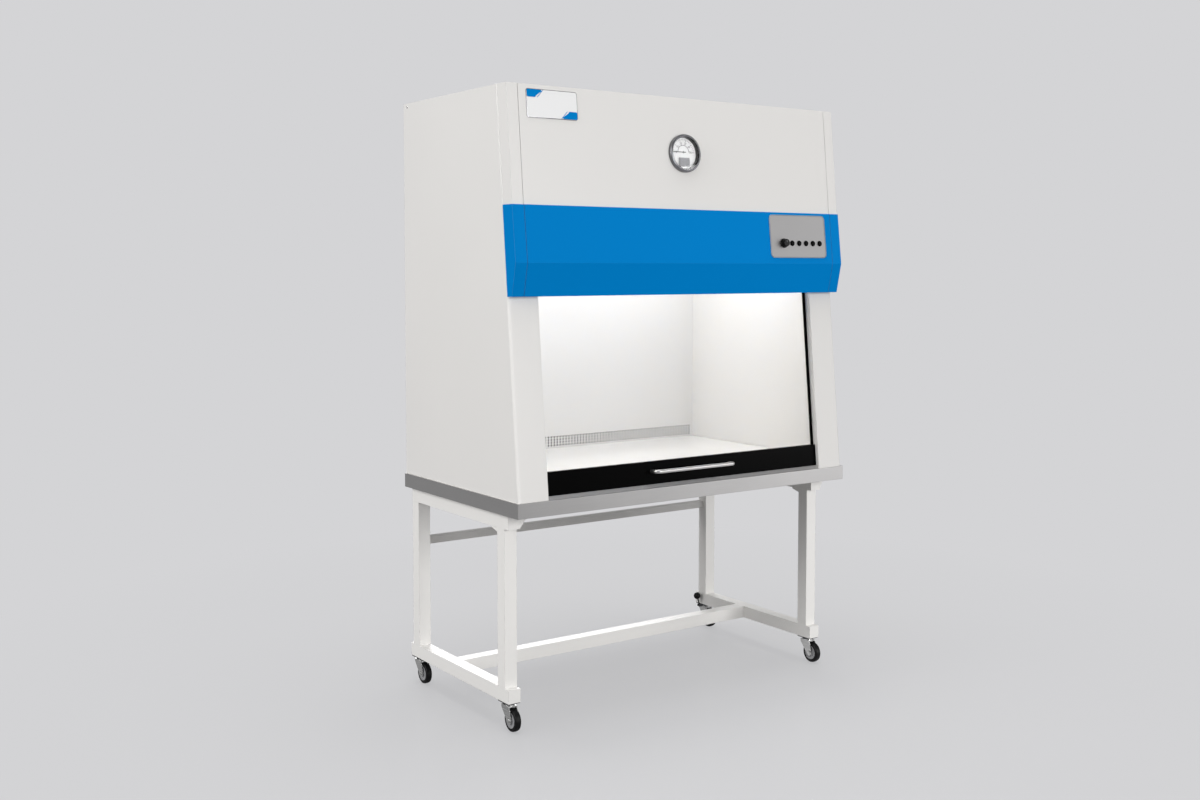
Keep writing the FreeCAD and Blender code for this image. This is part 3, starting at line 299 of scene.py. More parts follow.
def ring(name, inner, outer, low, high, sides=32, soften=0.0):
    """A flat ring about Z, its outer top edge softened."""
    profile = [(inner, low), (outer, low), (outer, high - soften), (outer - soften, high), (inner, high)]
    return turned(name, profile + [(inner, low)], sides, base=False, top=False)


def plate(name, width, height, corner, thickness, steps=5, soften=0.0):
    """A plate with rounded corners, lying on XY with its back at Z 0."""
    piece = start(bpy.ops.mesh.primitive_plane_add, name, size=1)
    every(piece)
    bpy.ops.transform.resize(value=(width, height, 1))
    bpy.ops.mesh.bevel(offset=corner, segments=steps, affect="VERTICES")
    extrude_by(thickness)
    outward()
    if soften:
        pick_edges_at(piece, 2, thickness, SAME_PLACE)
        bpy.ops.mesh.bevel(offset=soften, segments=2)
        outward()
    return piece


# Places on the leaning faces

def face_place(origin, inward):
    """A frame on a face: X across, Y up the face and Z out of it."""
    out = -Vector(inward).normalized()
    across = Vector((1, 0, 0))
    turn = Matrix((across, out.cross(across), out)).transposed()
    return Matrix.Translation(Vector(origin)) @ turn.to_4x4()


def middle_of(node):
    low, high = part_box(node)
    return (low + high) / 2


def on_face(face, x, z, out=0.0):
    """The same frame moved to a place given by its X and its height."""
    origin = face.translation
    up = (z - origin.z) / face.col[1].z
    return face @ Matrix.Translation((x - origin.x, up, out))


def onto_face(face, point):
    """The same frame moved under a point."""
    inside = face.inverted() @ point
    return face @ Matrix.Translation((inside.x, inside.y, 0))


hood_face = face_place(joints["pointer_sweep"]["pos_m"], joints["pointer_sweep"]["axis"])
fascia_face = face_place(joints["knob_turn"]["pos_m"], joints["knob_turn"]["axis"])
gauge_face = onto_face(hood_face, middle_of("gauge_case"))
plate_face = onto_face(fascia_face, middle_of("control_plate"))


def reach_out(face, node):
    """How far a node reaches out of a face."""
    inverse = face.inverted()
    return max((inverse @ vertex.co).z for vertex in frame["nodes"][node].data.vertices)


# Nodes of a material

def node(tree, kind, **settings):
    item = tree.nodes.new(f"ShaderNode{kind}")
    for name, value in settings.items():
        setattr(item, name, value)
    return item


def feed(tree, socket, value):
    """Link a socket to another, or set it."""
    if isinstance(value, bpy.types.NodeSocket):
        tree.links.new(value, socket)
    else:
        socket.default_value = value


def maths(tree, operation, first, second=0.5, clamp=False):
    item = node(tree, "Math", operation=operation, use_clamp=clamp)
    feed(tree, item.inputs[0], first)
    feed(tree, item.inputs[1], second)
    return item.outputs[0]


def mixed(tree, share, first, second, blend="MIX"):
    """Two colours mixed by a share."""
    item = node(tree, "Mix", data_type="RGBA", blend_type=blend)
    feed(tree, item.inputs["Factor"], share)
    feed(tree, item.inputs[6], first)
    feed(tree, item.inputs[7], second)
    return item.outputs[2]


def spread(tree, value, low, high, to_low, to_high):
    """A value carried from one range to another."""
    item = node(tree, "MapRange")
    for socket, amount in zip(item.inputs, (value, low, high, to_low, to_high)):
        feed(tree, socket, amount)
    return item.outputs[0]


def noise(tree, place, scale, detail=2.0):
    item = node(tree, "TexNoise")
    feed(tree, item.inputs["Vector"], place)
    feed(tree, item.inputs["Scale"], scale)
    item.inputs["Detail"].default_value = detail
    return item.outputs["Fac"]


def swung(tree, value, share):
    """A value's swing about its middle, scaled by a share."""
    return maths(tree, "MULTIPLY", maths(tree, "SUBTRACT", value, 0.5), share)


def toned(tree, tone, change):
    """A tone made lighter or darker by a change about nought."""
    return mixed(tree, 1.0, tone, maths(tree, "ADD", 1.0, change), "MULTIPLY")


def object_place(tree):
    return node(tree, "TexCoord").outputs["Object"]


def new_group(name, inputs, outputs):
    """An effect that several materials use, with its sockets."""
    tree = bpy.data.node_groups.new(name, "ShaderNodeTree")
    groups[name] = tree
    for label, kind, value in inputs:
        socket = tree.interface.new_socket(label, in_out="INPUT", socket_type=f"NodeSocket{kind}")
        socket.default_value = value
    for label, kind in outputs:
        tree.interface.new_socket(label, in_out="OUTPUT", socket_type=f"NodeSocket{kind}")
    return tree, tree.nodes.new("NodeGroupInput").outputs, tree.nodes.new("NodeGroupOutput").inputs


SURFACE = [("Colour", "Color"), ("Roughness", "Float"), ("Height", "Float")]


def group_coat_grain():
    """Powder coat: a slight drift of its tone, and a fine orange peel."""
    tree, given, result = new_group("coat_grain", [
        ("Colour", "Color", (0.8, 0.8, 0.8, 1)), ("Drift", "Float", 0.03),
        ("Peel", "Float", 420.0), ("Roughness", "Float", 0.4),
    ], SURFACE)
    place = object_place(tree)
    broad = noise(tree, place, scale=2.3, detail=3.0)
    fine = noise(tree, place, given["Peel"])
    half_drift = maths(tree, "MULTIPLY", given["Drift"], 0.5)
    drift = swung(tree, broad, given["Drift"])
    speck = swung(tree, fine, half_drift)
    feed(tree, result["Colour"], toned(tree, given["Colour"], maths(tree, "ADD", drift, speck)))
    rough_drift = 0.16
    rough = swung(tree, broad, rough_drift)
    feed(tree, result["Roughness"], maths(tree, "ADD", given["Roughness"], rough, clamp=True))
    feed(tree, result["Height"], fine)


def group_brushed_grain():
    """Brushed metal: fine streaks that run level on walls and across on flat tops."""
    tree, given, result = new_group("brushed_grain", [
        ("Colour", "Color", (0.6, 0.6, 0.6, 1)), ("Streak", "Float", 0.12),
        ("Fineness", "Float", 900.0), ("Roughness", "Float", 0.3),
    ], SURFACE)
    where = node(tree, "SeparateXYZ")
    feed(tree, where.inputs[0], object_place(tree))
    facing = node(tree, "SeparateXYZ")
    feed(tree, facing.inputs[0], node(tree, "NewGeometry").outputs["Normal"])
    least_level, coarse = 0.7, 6.0
    level = maths(tree, "ABSOLUTE", facing.outputs["Z"])
    flat = maths(tree, "GREATER_THAN", level, least_level)
    across = maths(tree, "MULTIPLY", maths(tree, "MULTIPLY", where.outputs["Y"], given["Fineness"]), flat)
    along = maths(tree, "MULTIPLY", where.outputs["Y"], coarse)
    stretched = node(tree, "CombineXYZ")
    feed(tree, stretched.inputs[0], maths(tree, "MULTIPLY", where.outputs["X"], coarse))
    feed(tree, stretched.inputs[1], maths(tree, "ADD", across, along))
    feed(tree, stretched.inputs[2], maths(tree, "MULTIPLY", where.outputs["Z"], given["Fineness"]))
    streaks = noise(tree, stretched.outputs[0], scale=1.0, detail=3.0)
    clouds = noise(tree, object_place(tree), scale=5.0, detail=3.0)
    swing = swung(tree, streaks, given["Streak"])
    cloud = swung(tree, clouds, given["Streak"])
    feed(tree, result["Colour"], toned(tree, given["Colour"], maths(tree, "ADD", swing, cloud)))
    rough = maths(tree, "ADD", given["Roughness"], maths(tree, "MULTIPLY", swing, 0.6), clamp=True)
    feed(tree, result["Roughness"], rough)
    feed(tree, result["Height"], streaks)


def group_moulded_grain():
    """Moulded plastic or rubber: a fine even grain with faint handling marks."""
    tree, given, result = new_group("moulded_grain", [
        ("Colour", "Color", (0.02, 0.02, 0.02, 1)), ("Marks", "Float", 0.2),
        ("Grain", "Float", 1400.0), ("Roughness", "Float", 0.5),
    ], SURFACE)
    place = object_place(tree)
    grain = noise(tree, place, given["Grain"])
    marks = noise(tree, place, scale=45.0, detail=4.0)
    lift = swung(tree, marks, given["Marks"])
    feed(tree, result["Colour"], toned(tree, given["Colour"], lift))
    rough = maths(tree, "ADD", given["Roughness"], maths(tree, "MULTIPLY", lift, 0.4), clamp=True)
    feed(tree, result["Roughness"], rough)
    feed(tree, result["Height"], grain)


def group_soft_edge():
    """Edges rounded over for the light, with a mask of where they lie, which the paints use for a highlight
    painted along their edges.
    """
    tree, given, result = new_group("soft_edge", [
        ("Radius", "Float", 0.0015), ("Normal", "Vector", (0, 0, 0)),
    ], [("Normal", "Vector"), ("Edge", "Float")])
    round_over = node(tree, "Bevel", samples=4)
    feed(tree, round_over.inputs["Radius"], given["Radius"])
    match = node(tree, "VectorMath", operation="DOT_PRODUCT")
    feed(tree, match.inputs[0], round_over.outputs[0])
    feed(tree, match.inputs[1], node(tree, "NewGeometry").outputs["Normal"])
    feed(tree, result["Normal"], round_over.outputs[0])
    feed(tree, result["Edge"], spread(tree, match.outputs["Value"], 1.0, 0.8, 0.0, 1.0))


groups = {}


def effect(tree, name, **values):
    """Place a shared effect in a material, with its own values."""
    item = node(tree, "Group", node_tree=groups[name])
    for label, value in values.items():
        feed(tree, item.inputs[label], value)
    return item.outputs


def new_material(name):
    """A material with its Principled shader's sockets."""
    material = bpy.data.materials.new(name)
    material.use_nodes = True
    shader = material.node_tree.nodes["Principled BSDF"]
    return material, material.node_tree, shader.inputs


def opaque(rgb):
    return (*rgb, 1.0)


# A light tone for the highlight painted along the edges of paints, where rounded edges catch the light.
PAINTED_EDGE_HIGHLIGHT = (0.95, 0.95, 0.95, 1.0)


def show_mix(tree, share, first, second, output="Material Output"):
    """Mix two shaders by a share and show the mix."""
    mix = node(tree, "MixShader")
    for socket, value in zip(mix.inputs, (share, first, second)):
        feed(tree, socket, value)
    feed(tree, tree.nodes[output].inputs["Surface"], mix.outputs[0])


def grained(name, grain, values, depth, metallic=0.0, edge=0.0, rim=0.0, shine=0.5):
    """A material on one of the grains, with an edge radius and, where it has them, a highlight painted in a light
    rim tone along its edges.
    """
    material, tree, shader = new_material(name)
    surface = effect(tree, grain, **values)
    tone = surface["Colour"]
    relief = node(tree, "Bump")
    relief.inputs["Strength"].default_value = 1.0
    relief.inputs["Distance"].default_value = depth
    feed(tree, relief.inputs["Height"], surface["Height"])
    if edge:
        rounding = effect(tree, "soft_edge", Radius=edge)
        feed(tree, relief.inputs["Normal"], rounding["Normal"])
        # Painted highlight: the edge mask, scaled by rim, lightens the colour towards the light tone.
        if rim:
            share = maths(tree, "MULTIPLY", rounding["Edge"], rim)
            tone = mixed(tree, share, tone, PAINTED_EDGE_HIGHLIGHT)
    feed(tree, shader["Base Color"], tone)
    feed(tree, shader["Roughness"], surface["Roughness"])
    feed(tree, shader["Normal"], relief.outputs[0])
    shader["Metallic"].default_value = metallic
    shader["Specular IOR Level"].default_value = shine
    return material


# rim: strength of the highlight painted along the paint's edges.
def coat(name, rgb, roughness, drift=0.025, edge=0.0016, rim=0.25, shine=0.5):
    values = {"Colour": opaque(rgb), "Drift": drift, "Peel": 420.0, "Roughness": roughness}
    return grained(name, "coat_grain", values, depth=0.00003, edge=edge, rim=rim, shine=shine)


def brushed(name, rgb, roughness, streak=0.12, fineness=900.0, edge=0.0010, metallic=1.0):
    values = {"Colour": opaque(rgb), "Streak": streak, "Fineness": fineness, "Roughness": roughness}
    return grained(name, "brushed_grain", values, depth=0.00001, metallic=metallic, edge=edge)


def moulded(name, rgb, roughness, marks=0.25, edge=0.0008, shine=0.5):
    values = {"Colour": opaque(rgb), "Marks": marks, "Grain": 1400.0, "Roughness": roughness}
    return grained(name, "moulded_grain", values, depth=0.00002, edge=edge, shine=shine)


def clear_glass(name, rgb, roughness):
    """Glass that lets the light of lamps through to what it covers."""
    material, tree, shader = new_material(name)
    shader["Base Color"].default_value = opaque(rgb)
    shader["Transmission Weight"].default_value = 1.0
    shader["Roughness"].default_value = roughness
    shader["IOR"].default_value = 1.45
    is_shadow = node(tree, "LightPath").outputs["Is Shadow Ray"]
    clear = node(tree, "BsdfTransparent").outputs[0]
    show_mix(tree, is_shadow, tree.nodes["Principled BSDF"].outputs[0], clear)
    return material


def lamp_tube(name, glow):
    """The lit tube, whiter along its middle, with plain caps at its ends."""
    material, tree, shader = new_material(name)
    tube_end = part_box("lamp")[1].x
    cap = 0.030
    where = node(tree, "SeparateXYZ")
    feed(tree, where.inputs[0], object_place(tree))
    reach = maths(tree, "ABSOLUTE", where.outputs["X"])
    is_tube = maths(tree, "LESS_THAN", reach, tube_end - cap)
    haze = spread(tree, noise(tree, object_place(tree), scale=30.0), 0.0, 1.0, 0.92, 1.0)
    shader["Roughness"].default_value = 0.25
    feed(tree, shader["Base Color"], mixed(tree, is_tube, (0.45, 0.45, 0.45, 1), (0.9, 0.9, 0.88, 1)))
    lit = mixed(tree, maths(tree, "MULTIPLY", is_tube, haze), (0, 0, 0, 1), (1, 1, 1, 1))
    feed(tree, shader["Emission Color"], lit)
    shader["Emission Strength"].default_value = glow
    return material


def pleated_media(name):
    """Folded filter paper in a plain light frame."""
    material, tree, shader = new_material(name)
    fibres = noise(tree, object_place(tree), scale=260.0, detail=4.0)
    feed(tree, shader["Base Color"], mixed(tree, fibres, (0.74, 0.74, 0.70, 1), (0.84, 0.84, 0.81, 1)))
    feed(tree, shader["Roughness"], spread(tree, fibres, 0.0, 1.0, 0.8, 0.95))
    relief = node(tree, "Bump")
    relief.inputs["Distance"].default_value = 0.0002
    feed(tree, relief.inputs["Height"], fibres)
    feed(tree, shader["Normal"], relief.outputs[0])
    return material


def spangled(name, rgb):
    """Galvanised sheet with its pattern of crystals."""
    material, tree, shader = new_material(name)
    crystals = node(tree, "TexVoronoi")
    feed(tree, crystals.inputs["Vector"], object_place(tree))
    crystals.inputs["Scale"].default_value = 90.0
    shade = node(tree, "RGBToBW")
    feed(tree, shade.inputs[0], crystals.outputs["Color"])
    dark = opaque(channel * 0.82 for channel in rgb)
    feed(tree, shader["Base Color"], mixed(tree, shade.outputs[0], dark, opaque(rgb)))
    feed(tree, shader["Roughness"], spread(tree, shade.outputs[0], 0.0, 1.0, 0.3, 0.5))
    shader["Metallic"].default_value = 1.0
    return material


finishes = {}


def make_finishes(colours, studio):
    """Every material, under the name of its slot or of its own use."""
    for add_group in (group_coat_grain, group_brushed_grain, group_moulded_grain, group_soft_edge):
        add_group()
    finishes.update({
        # rim sets how strongly a highlight is painted along a paint's edges.
        "stand_paint": coat("stand_paint", colours.stand, 0.38),
        "shell_paint": coat("shell_paint", colours.shell, 0.38),
        "chamber_paint": coat("chamber_paint", colours.chamber, 0.40, drift=0.015),
        "blue_paint": coat("blue_paint", colours.blue, 0.40, drift=0.03, rim=0.10, shine=0.01),
        "stainless": brushed("stainless", colours.steel, 0.32, edge=0.0020),
        "surface_steel": brushed("surface_steel", (0.99, 0.985, 0.975), 0.10, streak=0.03, metallic=0.12),
        # The caster plates' zinc, painted near black: partly a darker zinc, partly painted shade for the shadowed
        # gap under the rails.
        "plate_zinc": brushed(
            "plate_zinc", (0.10, 0.10, 0.105), 0.35, streak=0.3, fineness=300.0, edge=0.0006
        ),
        "zinc": brushed("zinc", (0.64, 0.64, 0.63), 0.24, streak=0.5, fineness=300.0, edge=0.0006),
        "panel_aluminium": brushed("panel_aluminium", colours.aluminium, 0.46, streak=0.06, fineness=1300.0),
        "bezel_metal": brushed("bezel_metal", (0.20, 0.20, 0.21), 0.24, streak=0.2, fineness=500.0),
        "bright_metal": brushed("bright_metal", (0.86, 0.86, 0.86), 0.16, streak=0.05, edge=0.0004),
        "sash_black": coat("sash_black", (0.0012, 0.0012, 0.0012), 0.22, drift=0.2, rim=0.0, shine=0.02),
        "tyre_rubber": moulded("tyre_rubber", (0.005, 0.005, 0.0055), 0.42, marks=0.8, shine=0.15),
        "hub_plastic": moulded("hub_plastic", (0.30, 0.30, 0.31), 0.30, shine=0.6),
        "black_plastic": moulded("black_plastic", (0.004, 0.004, 0.004), 0.35, shine=0.12),
        "pointer_black": moulded("pointer_black", (0.012, 0.012, 0.012), 0.5, edge=0.0),
        # The dial's white is lowered to grey: partly its own off-white, partly painted shade of the dial sunk
        # under its bezel.
        "dial_white": coat("dial_white", (0.60, 0.60, 0.60), 0.55, edge=0.0),
        "guard_grey": moulded("guard_grey", (0.16, 0.16, 0.17), 0.5),
        "badge_white": coat("badge_white", (0.78, 0.78, 0.78), 0.3, edge=0.0),
        "border_white": coat("border_white", (0.56, 0.58, 0.60), 0.40, edge=0.0),
        "foam": moulded("foam", (0.012, 0.012, 0.013), 0.95, marks=0.6, edge=0.0, shine=0.1),
        "motor_iron": coat("motor_iron", (0.06, 0.065, 0.07), 0.45, drift=0.2),
        "galvanised": spangled("galvanised", (0.56, 0.58, 0.60)),
        "filter_pack": pleated_media("filter_pack"),
        "lamp_glass": lamp_tube("lamp_glass", studio.chamber_glow),
        "sash_glass": clear_glass("sash_glass", (0.995, 1.0, 0.997), 0.0),
        "gauge_glass": clear_glass("gauge_glass", (0.98, 0.98, 0.98), 0.0),
    })


OWN_FINISH = {
    "work_surface": "surface_steel",
    # The caster plates take the darkened zinc, painted shade for the gap under the rails.
    "caster_plates": "plate_zinc",
    **{f"button_{number}": "sash_black" for number in BUTTONS},
}


class CABINET_OT_finishes(bpy.types.Operator):
    """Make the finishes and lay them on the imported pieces"""

    bl_idname = "cabinet.finishes"
    bl_label = "Finishes"

    def execute(self, context):
        make_finishes(context.scene.cabinet_finishes, context.scene.cabinet_studio)
        for name, item in frame["nodes"].items():
            item.data.materials.clear()
            item.data.materials.append(finishes[OWN_FINISH.get(name, node_slots[name])])
        return {"FINISHED"}


class CABINET_OT_return_sheet(bpy.types.Operator):
    """Build the chamber's back wall with its strip of round return-air holes"""

    bl_idname = "cabinet.return_sheet"
    bl_label = "Return-air sheet"

    def execute(self, context):
        sizes = context.scene.cabinet_sizes
        low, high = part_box("back_wall")
        pitch = sizes.hole_pitch
        columns = int((high.x - low.x) / pitch) - 1
        side_margin = (high.x - low.x - columns * pitch) / 2
        strip_low = sizes.strip_base - sizes.row_pitch / 2
        sheet = start(bpy.ops.mesh.primitive_plane_add, "return_sheet", size=pitch)
        every(sheet)
        bpy.ops.mesh.subdivide(number_cuts=3)
        quarter = pitch / 4
        pick(sheet, "polygons", lambda face: max(abs(face.center.x), abs(face.center.y)) < quarter)
        bpy.ops.mesh.delete(type="FACE")
        pick(
            sheet, "vertices",
            lambda vertex: abs(abs(vertex.co.x) - quarter) + abs(abs(vertex.co.y) - quarter) < SAME_PLACE,
        )
        onto_circle = 0.7071
        bpy.ops.transform.resize(value=(onto_circle, onto_circle, 1))
        hole_reach, near_rim = 1.1 * quarter, 0.45 * pitch
        pick(sheet, "vertices", lambda vertex: vertex.co.xy.length < hole_reach)
        widen = sizes.hole_radius / quarter
        bpy.ops.transform.resize(value=(widen, widen, 1), center_override=(0, 0, 0))
        pick(sheet, "vertices", lambda vertex: abs(vertex.co.y) > near_rim)
        bpy.ops.transform.resize(value=(1, sizes.row_pitch / pitch, 1), center_override=(0, 0, 0))
        leave()
        cell_seam, sheet_seam = 0.00005, 0.00002
        for axis, count in ((0, columns), (1, sizes.hole_rows)):
            step = [0.0, 0.0, 0.0]
            step[axis] = 1.0
            shape(
                sheet, "ARRAY", count=count, relative_offset_displace=step,
                use_merge_vertices=True, merge_threshold=cell_seam,
            )
        upright = Matrix.Rotation(math.radians(90), 4, "X")
        corner = Matrix.Translation((low.x + side_margin + pitch / 2, low.y, sizes.strip_base))
        settle(sheet, corner @ upright)
        top = strip_low + sizes.row_pitch * sizes.hole_rows
        tiny = pitch / 20
        for axis, line, move in (
            (2, top, (0, 0, high.z - top)),
            (2, strip_low, (0, 0, low.z - strip_low)),
            (0, low.x + side_margin, (-side_margin, 0, 0)),
            (0, high.x - side_margin, (side_margin, 0, 0)),
        ):
            pick_edges_at(sheet, axis, line, tiny)
            bpy.ops.mesh.extrude_edges_move(TRANSFORM_OT_translate={"value": move})
        leave()
        every(sheet)
        bpy.ops.mesh.remove_doubles(threshold=sheet_seam)
        leave()
        shape(sheet, "SOLIDIFY", thickness=high.y - low.y, offset=-1.0)
        every(sheet)
        bpy.ops.mesh.normals_make_consistent(inside=False)
        leave()
        dress(sheet, "chamber_paint", stands_for=["back_wall"])
        margin, thickness, gap = 0.008, 0.010, 0.0005
        width = high.x - low.x - 2 * margin
        height = top - strip_low + 2 * margin
        foam = plate("return_prefilter", width, height, corner=0.006, thickness=thickness, soften=0.002)
        middle = Vector((0, high.y + thickness + gap, (strip_low + top) / 2))
        settle(foam, Matrix.Translation(middle) @ upright)
        dress(foam, "foam")
        return {"FINISHED"}


class CABINET_OT_badge(bpy.types.Operator):
    """Lay the bare badge plate on the hood"""

    bl_idname = "cabinet.badge"
    bl_label = "Badge plate"

    def execute(self, context):
        sizes = context.scene.cabinet_sizes
        width, height = sizes.badge_width, sizes.badge_height
        shell_low, shell_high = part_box("side_panel_left")
        place = on_face(hood_face, shell_low.x + sizes.badge_set, shell_high.z - sizes.badge_drop)
        back = plate("badge_rim", width, height, corner=0.007, thickness=sizes.badge_plate, soften=0.0004)
        settle(back, place)
        dress(back, "bezel_metal")
        rim, sheet = 0.0018, 0.0006
        front = plate("badge_plate", width - 2 * rim, height - 2 * rim, corner=0.0055, thickness=sheet)
        settle(front, place @ Matrix.Translation((0, 0, sizes.badge_plate)))
        dress(front, "badge_white")
        across, up, lean = 0.052, 0.023, 0.021
        gap, line_width, film = 0.0045, 0.0024, 0.0003
        for name, side in (("badge_corner_top", 1), ("badge_corner_low", -1)):
            corner = plate(name, across, up, corner=0.0045, thickness=film)
            pick(corner, "vertices", lambda vertex: vertex.co.x > 0 and vertex.co.y < 0)
            bpy.ops.transform.translate(value=(-lean, 0, 0))
            leave()
            line = plate(f"{name}_line", line_width, up, corner=0.0003, thickness=film, steps=1)
            pick(line, "vertices", lambda vertex: vertex.co.y < 0)
            bpy.ops.transform.translate(value=(-lean, 0, 0))
            leave()
            settle(line, Matrix.Translation((across / 2 + gap, 0, 0)))
            shift = Matrix.Translation((-width / 2 + rim + across / 2, height / 2 - rim - up / 2, 0))
            turn = Matrix.Rotation(0 if side > 0 else math.pi, 4, "Z")
            accent = join(name, [corner, line])
            settle(accent, place @ Matrix.Translation((0, 0, sizes.badge_plate + sheet)) @ turn @ shift)
            dress(accent, "blue_paint")
        return {"FINISHED"}


class CABINET_OT_dial(bpy.types.Operator):
    """Draw the gauge's scale, numbers, arc and guard cover"""

    bl_idname = "cabinet.dial"
    bl_label = "Gauge dial"

    def execute(self, context):
        sizes = context.scene.cabinet_sizes
        pivot = gauge_face.inverted() @ Vector(joints["pointer_sweep"]["pos_m"])
        dial_top = -0.0025
        place = gauge_face @ Matrix.Translation((pivot.x, pivot.y, dial_top))
        sweep = math.radians(180)
        ink = 0.0002
        ticks = []
        count = 20
        for number in range(count + 1):
            angle = sweep - sweep * number / count
            reach, width = (0.0085, 0.0014) if number % 4 == 0 else (0.005, 0.0010)
            tick = start(bpy.ops.mesh.primitive_plane_add, f"tick_{number}", size=1)
            every(tick)
            bpy.ops.transform.resize(value=(reach, width, 1))
            extrude_by(ink)
            outward()
            out = Matrix.Translation((sizes.tick_radius - pivot.y - reach / 2, 0, 0))
            settle(tick, place @ Matrix.Rotation(angle, 4, "Z") @ out)
            ticks.append(tick)
        dress(join("dial_ticks", ticks), "pointer_black")
        numbers = []
        figure_size, figure_inset = 0.0100, 0.0145
        for number in range(0, count + 1, 4):
            angle = sweep - sweep * number / count
            figure = start(bpy.ops.object.text_add, f"figure_{number}")
            figure.data.body = str(number * 5 // 2)
            figure.data.size = figure_size
            figure.data.align_x = "CENTER"
            figure.data.align_y = "CENTER"
            figure.data.extrude = ink / 2
            bpy.ops.object.convert(target="MESH")
            figure = bpy.context.object
            reach = sizes.tick_radius - pivot.y - figure_inset
            spot = Matrix.Translation((reach * math.cos(angle), reach * math.sin(angle), ink / 2))
            settle(figure, place @ spot)
            numbers.append(figure)
        dress(join("dial_numbers", numbers), "pointer_black")
        half_line = 0.0009
        inner, outer = sizes.arc_radius - half_line, sizes.arc_radius + half_line
        arc = ring("dial_arc", inner, outer, low=0.0, high=ink, sides=64)
        pick(arc, "polygons", lambda face: face.center.y < 0)
        bpy.ops.mesh.delete(type="FACE")
        leave()
        settle(arc, place)
        dress(arc, "pointer_black")
        guard = plate(
            "gauge_guard_cover", width=0.041, height=0.029, corner=0.002, thickness=0.0014, soften=0.0004
        )
        guard_drop, guard_back = 0.0285, 0.00075
        settle(guard, gauge_face @ Matrix.Translation((0, -guard_drop, guard_back)))
        dress(guard, "guard_grey")
        gasket = ring(
            "gauge_gasket", inner=0.0495, outer=0.0526, low=-0.0020, high=0.0080, sides=64, soften=0.0005
        )
        settle(gasket, gauge_face)
        dress(gasket, "black_plastic")
        return {"FINISHED"}


class CABINET_OT_controls(bpy.types.Operator):
    """Add the control plate's border, the buttons' collars and the knob's mark"""

    bl_idname = "cabinet.controls"
    bl_label = "Controls"

    def execute(self, context):
        sizes = context.scene.cabinet_sizes
        plate_top = reach_out(plate_face, "control_plate")
        inverse = plate_face.inverted()
        inside = [inverse @ vertex.co for vertex in frame["nodes"]["control_plate"].data.vertices]
        clearance = 0.0006
        width = max(point.x for point in inside) - min(point.x for point in inside) - clearance
        height = max(point.y for point in inside) - min(point.y for point in inside) - clearance
        border = plate("control_border", width, height, corner=0.0137, thickness=0.0005, steps=6)
        for facing in (1, -1):
            pick(border, "polygons", lambda face: face.normal.z * facing > 0.5)
            bpy.ops.mesh.inset(thickness=sizes.border_width)
            bpy.ops.mesh.delete(type="FACE")
        leave()
        settle(border, plate_face @ Matrix.Translation((0, 0, plate_top)))
        dress(border, "border_white")
        collar = ring(
            "button_collar", inner=0.0074, outer=0.0094, low=0.0, high=0.0014, sides=28, soften=0.0005
        )
        for number in BUTTONS:
            place = onto_face(fascia_face, middle_of(f"button_{number}"))
            twin = copy_of(collar, f"button_collar_{number}", place @ Matrix.Translation((0, 0, plate_top)))
            dress(twin, "sash_black")
        bpy.data.objects.remove(collar)
        knob_top = reach_out(fascia_face, "speed_knob")
        mark = plate("knob_mark", width=0.0016, height=0.0085, corner=0.0004, thickness=0.0003, steps=2)
        off_middle = 0.0055
        settle(mark, fascia_face @ Matrix.Translation((0, off_middle, knob_top)))
        dress(mark, "guard_grey", body="speed_knob")
        return {"FINISHED"}


class CABINET_OT_screws(bpy.types.Operator):
    """Set the screws of the side panels and the back panel"""

    bl_idname = "cabinet.screws"
    bl_label = "Screws"

    def execute(self, context):
        radius = context.scene.cabinet_sizes.screw_radius
        top, recess, rim = 0.0016, 0.0009, radius * 0.06
        profile = [(radius, 0.0), (radius, 0.0006), (radius * 0.8, 0.0013), (radius * 0.5, top)]
        screw = turned("screw", profile, sides=20)
        pick(screw, "polygons", lambda face: face.center.z > top - SAME_PLACE)
        bpy.ops.mesh.inset(thickness=rim)
        extrude_by(-recess)
        leave()
        low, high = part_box("back_panel")
        places = []
        margin, from_rear, from_top = 0.022, 0.025, 0.012
        spaces = 4
        rear = Matrix.Rotation(math.radians(-90), 4, "X")
        for x in (low.x + margin, high.x - margin):
            for step in range(spaces + 1):
                z = low.z + margin + step * (high.z - low.z - 2 * margin) / spaces
                places.append(Matrix.Translation((x, high.y, z)) @ rear)
        for step in range(1, spaces):
            x = low.x + margin + step * (high.x - low.x - 2 * margin) / spaces
            for z in (low.z + margin, high.z - margin):
                places.append(Matrix.Translation((x, high.y, z)) @ rear)
        for side_name, side in SIDES.items():
            panel_low, panel_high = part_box(f"side_panel_{side_name}")
            x = panel_low.x if side < 0 else panel_high.x
            turn = Matrix.Rotation(math.radians(90) * side, 4, "Y")
            place = Matrix.Translation((x, panel_high.y - from_rear, panel_high.z - from_top))
            places.append(place @ turn)
        for number, place in enumerate(places):
            twin = copy_of(screw, f"panel_screw_{number}", place)
            dress(twin, "zinc")
        bpy.data.objects.remove(screw)
        return {"FINISHED"}


def bracket(name, reach, drop, width, tip):
    """A welded bracket: a wedge with a blunt tip, reaching along X, hanging down Y, its width along Z."""
    piece = start(bpy.ops.mesh.primitive_plane_add, name, size=1)
    every(piece)
    bpy.ops.transform.resize(value=(reach, drop, 1))
    bpy.ops.transform.translate(value=(reach / 2, -drop / 2, 0))
    pick(piece, "vertices", lambda vertex: vertex.co.x > reach / 2 and vertex.co.y < -drop / 2)
    bpy.ops.transform.translate(value=(0, drop - tip, 0))
    every(piece)
    extrude_by(width)
    outward()
    every(piece)
    softened = tip / 6
    bpy.ops.mesh.bevel(offset=softened, segments=2)
    outward()
    return piece


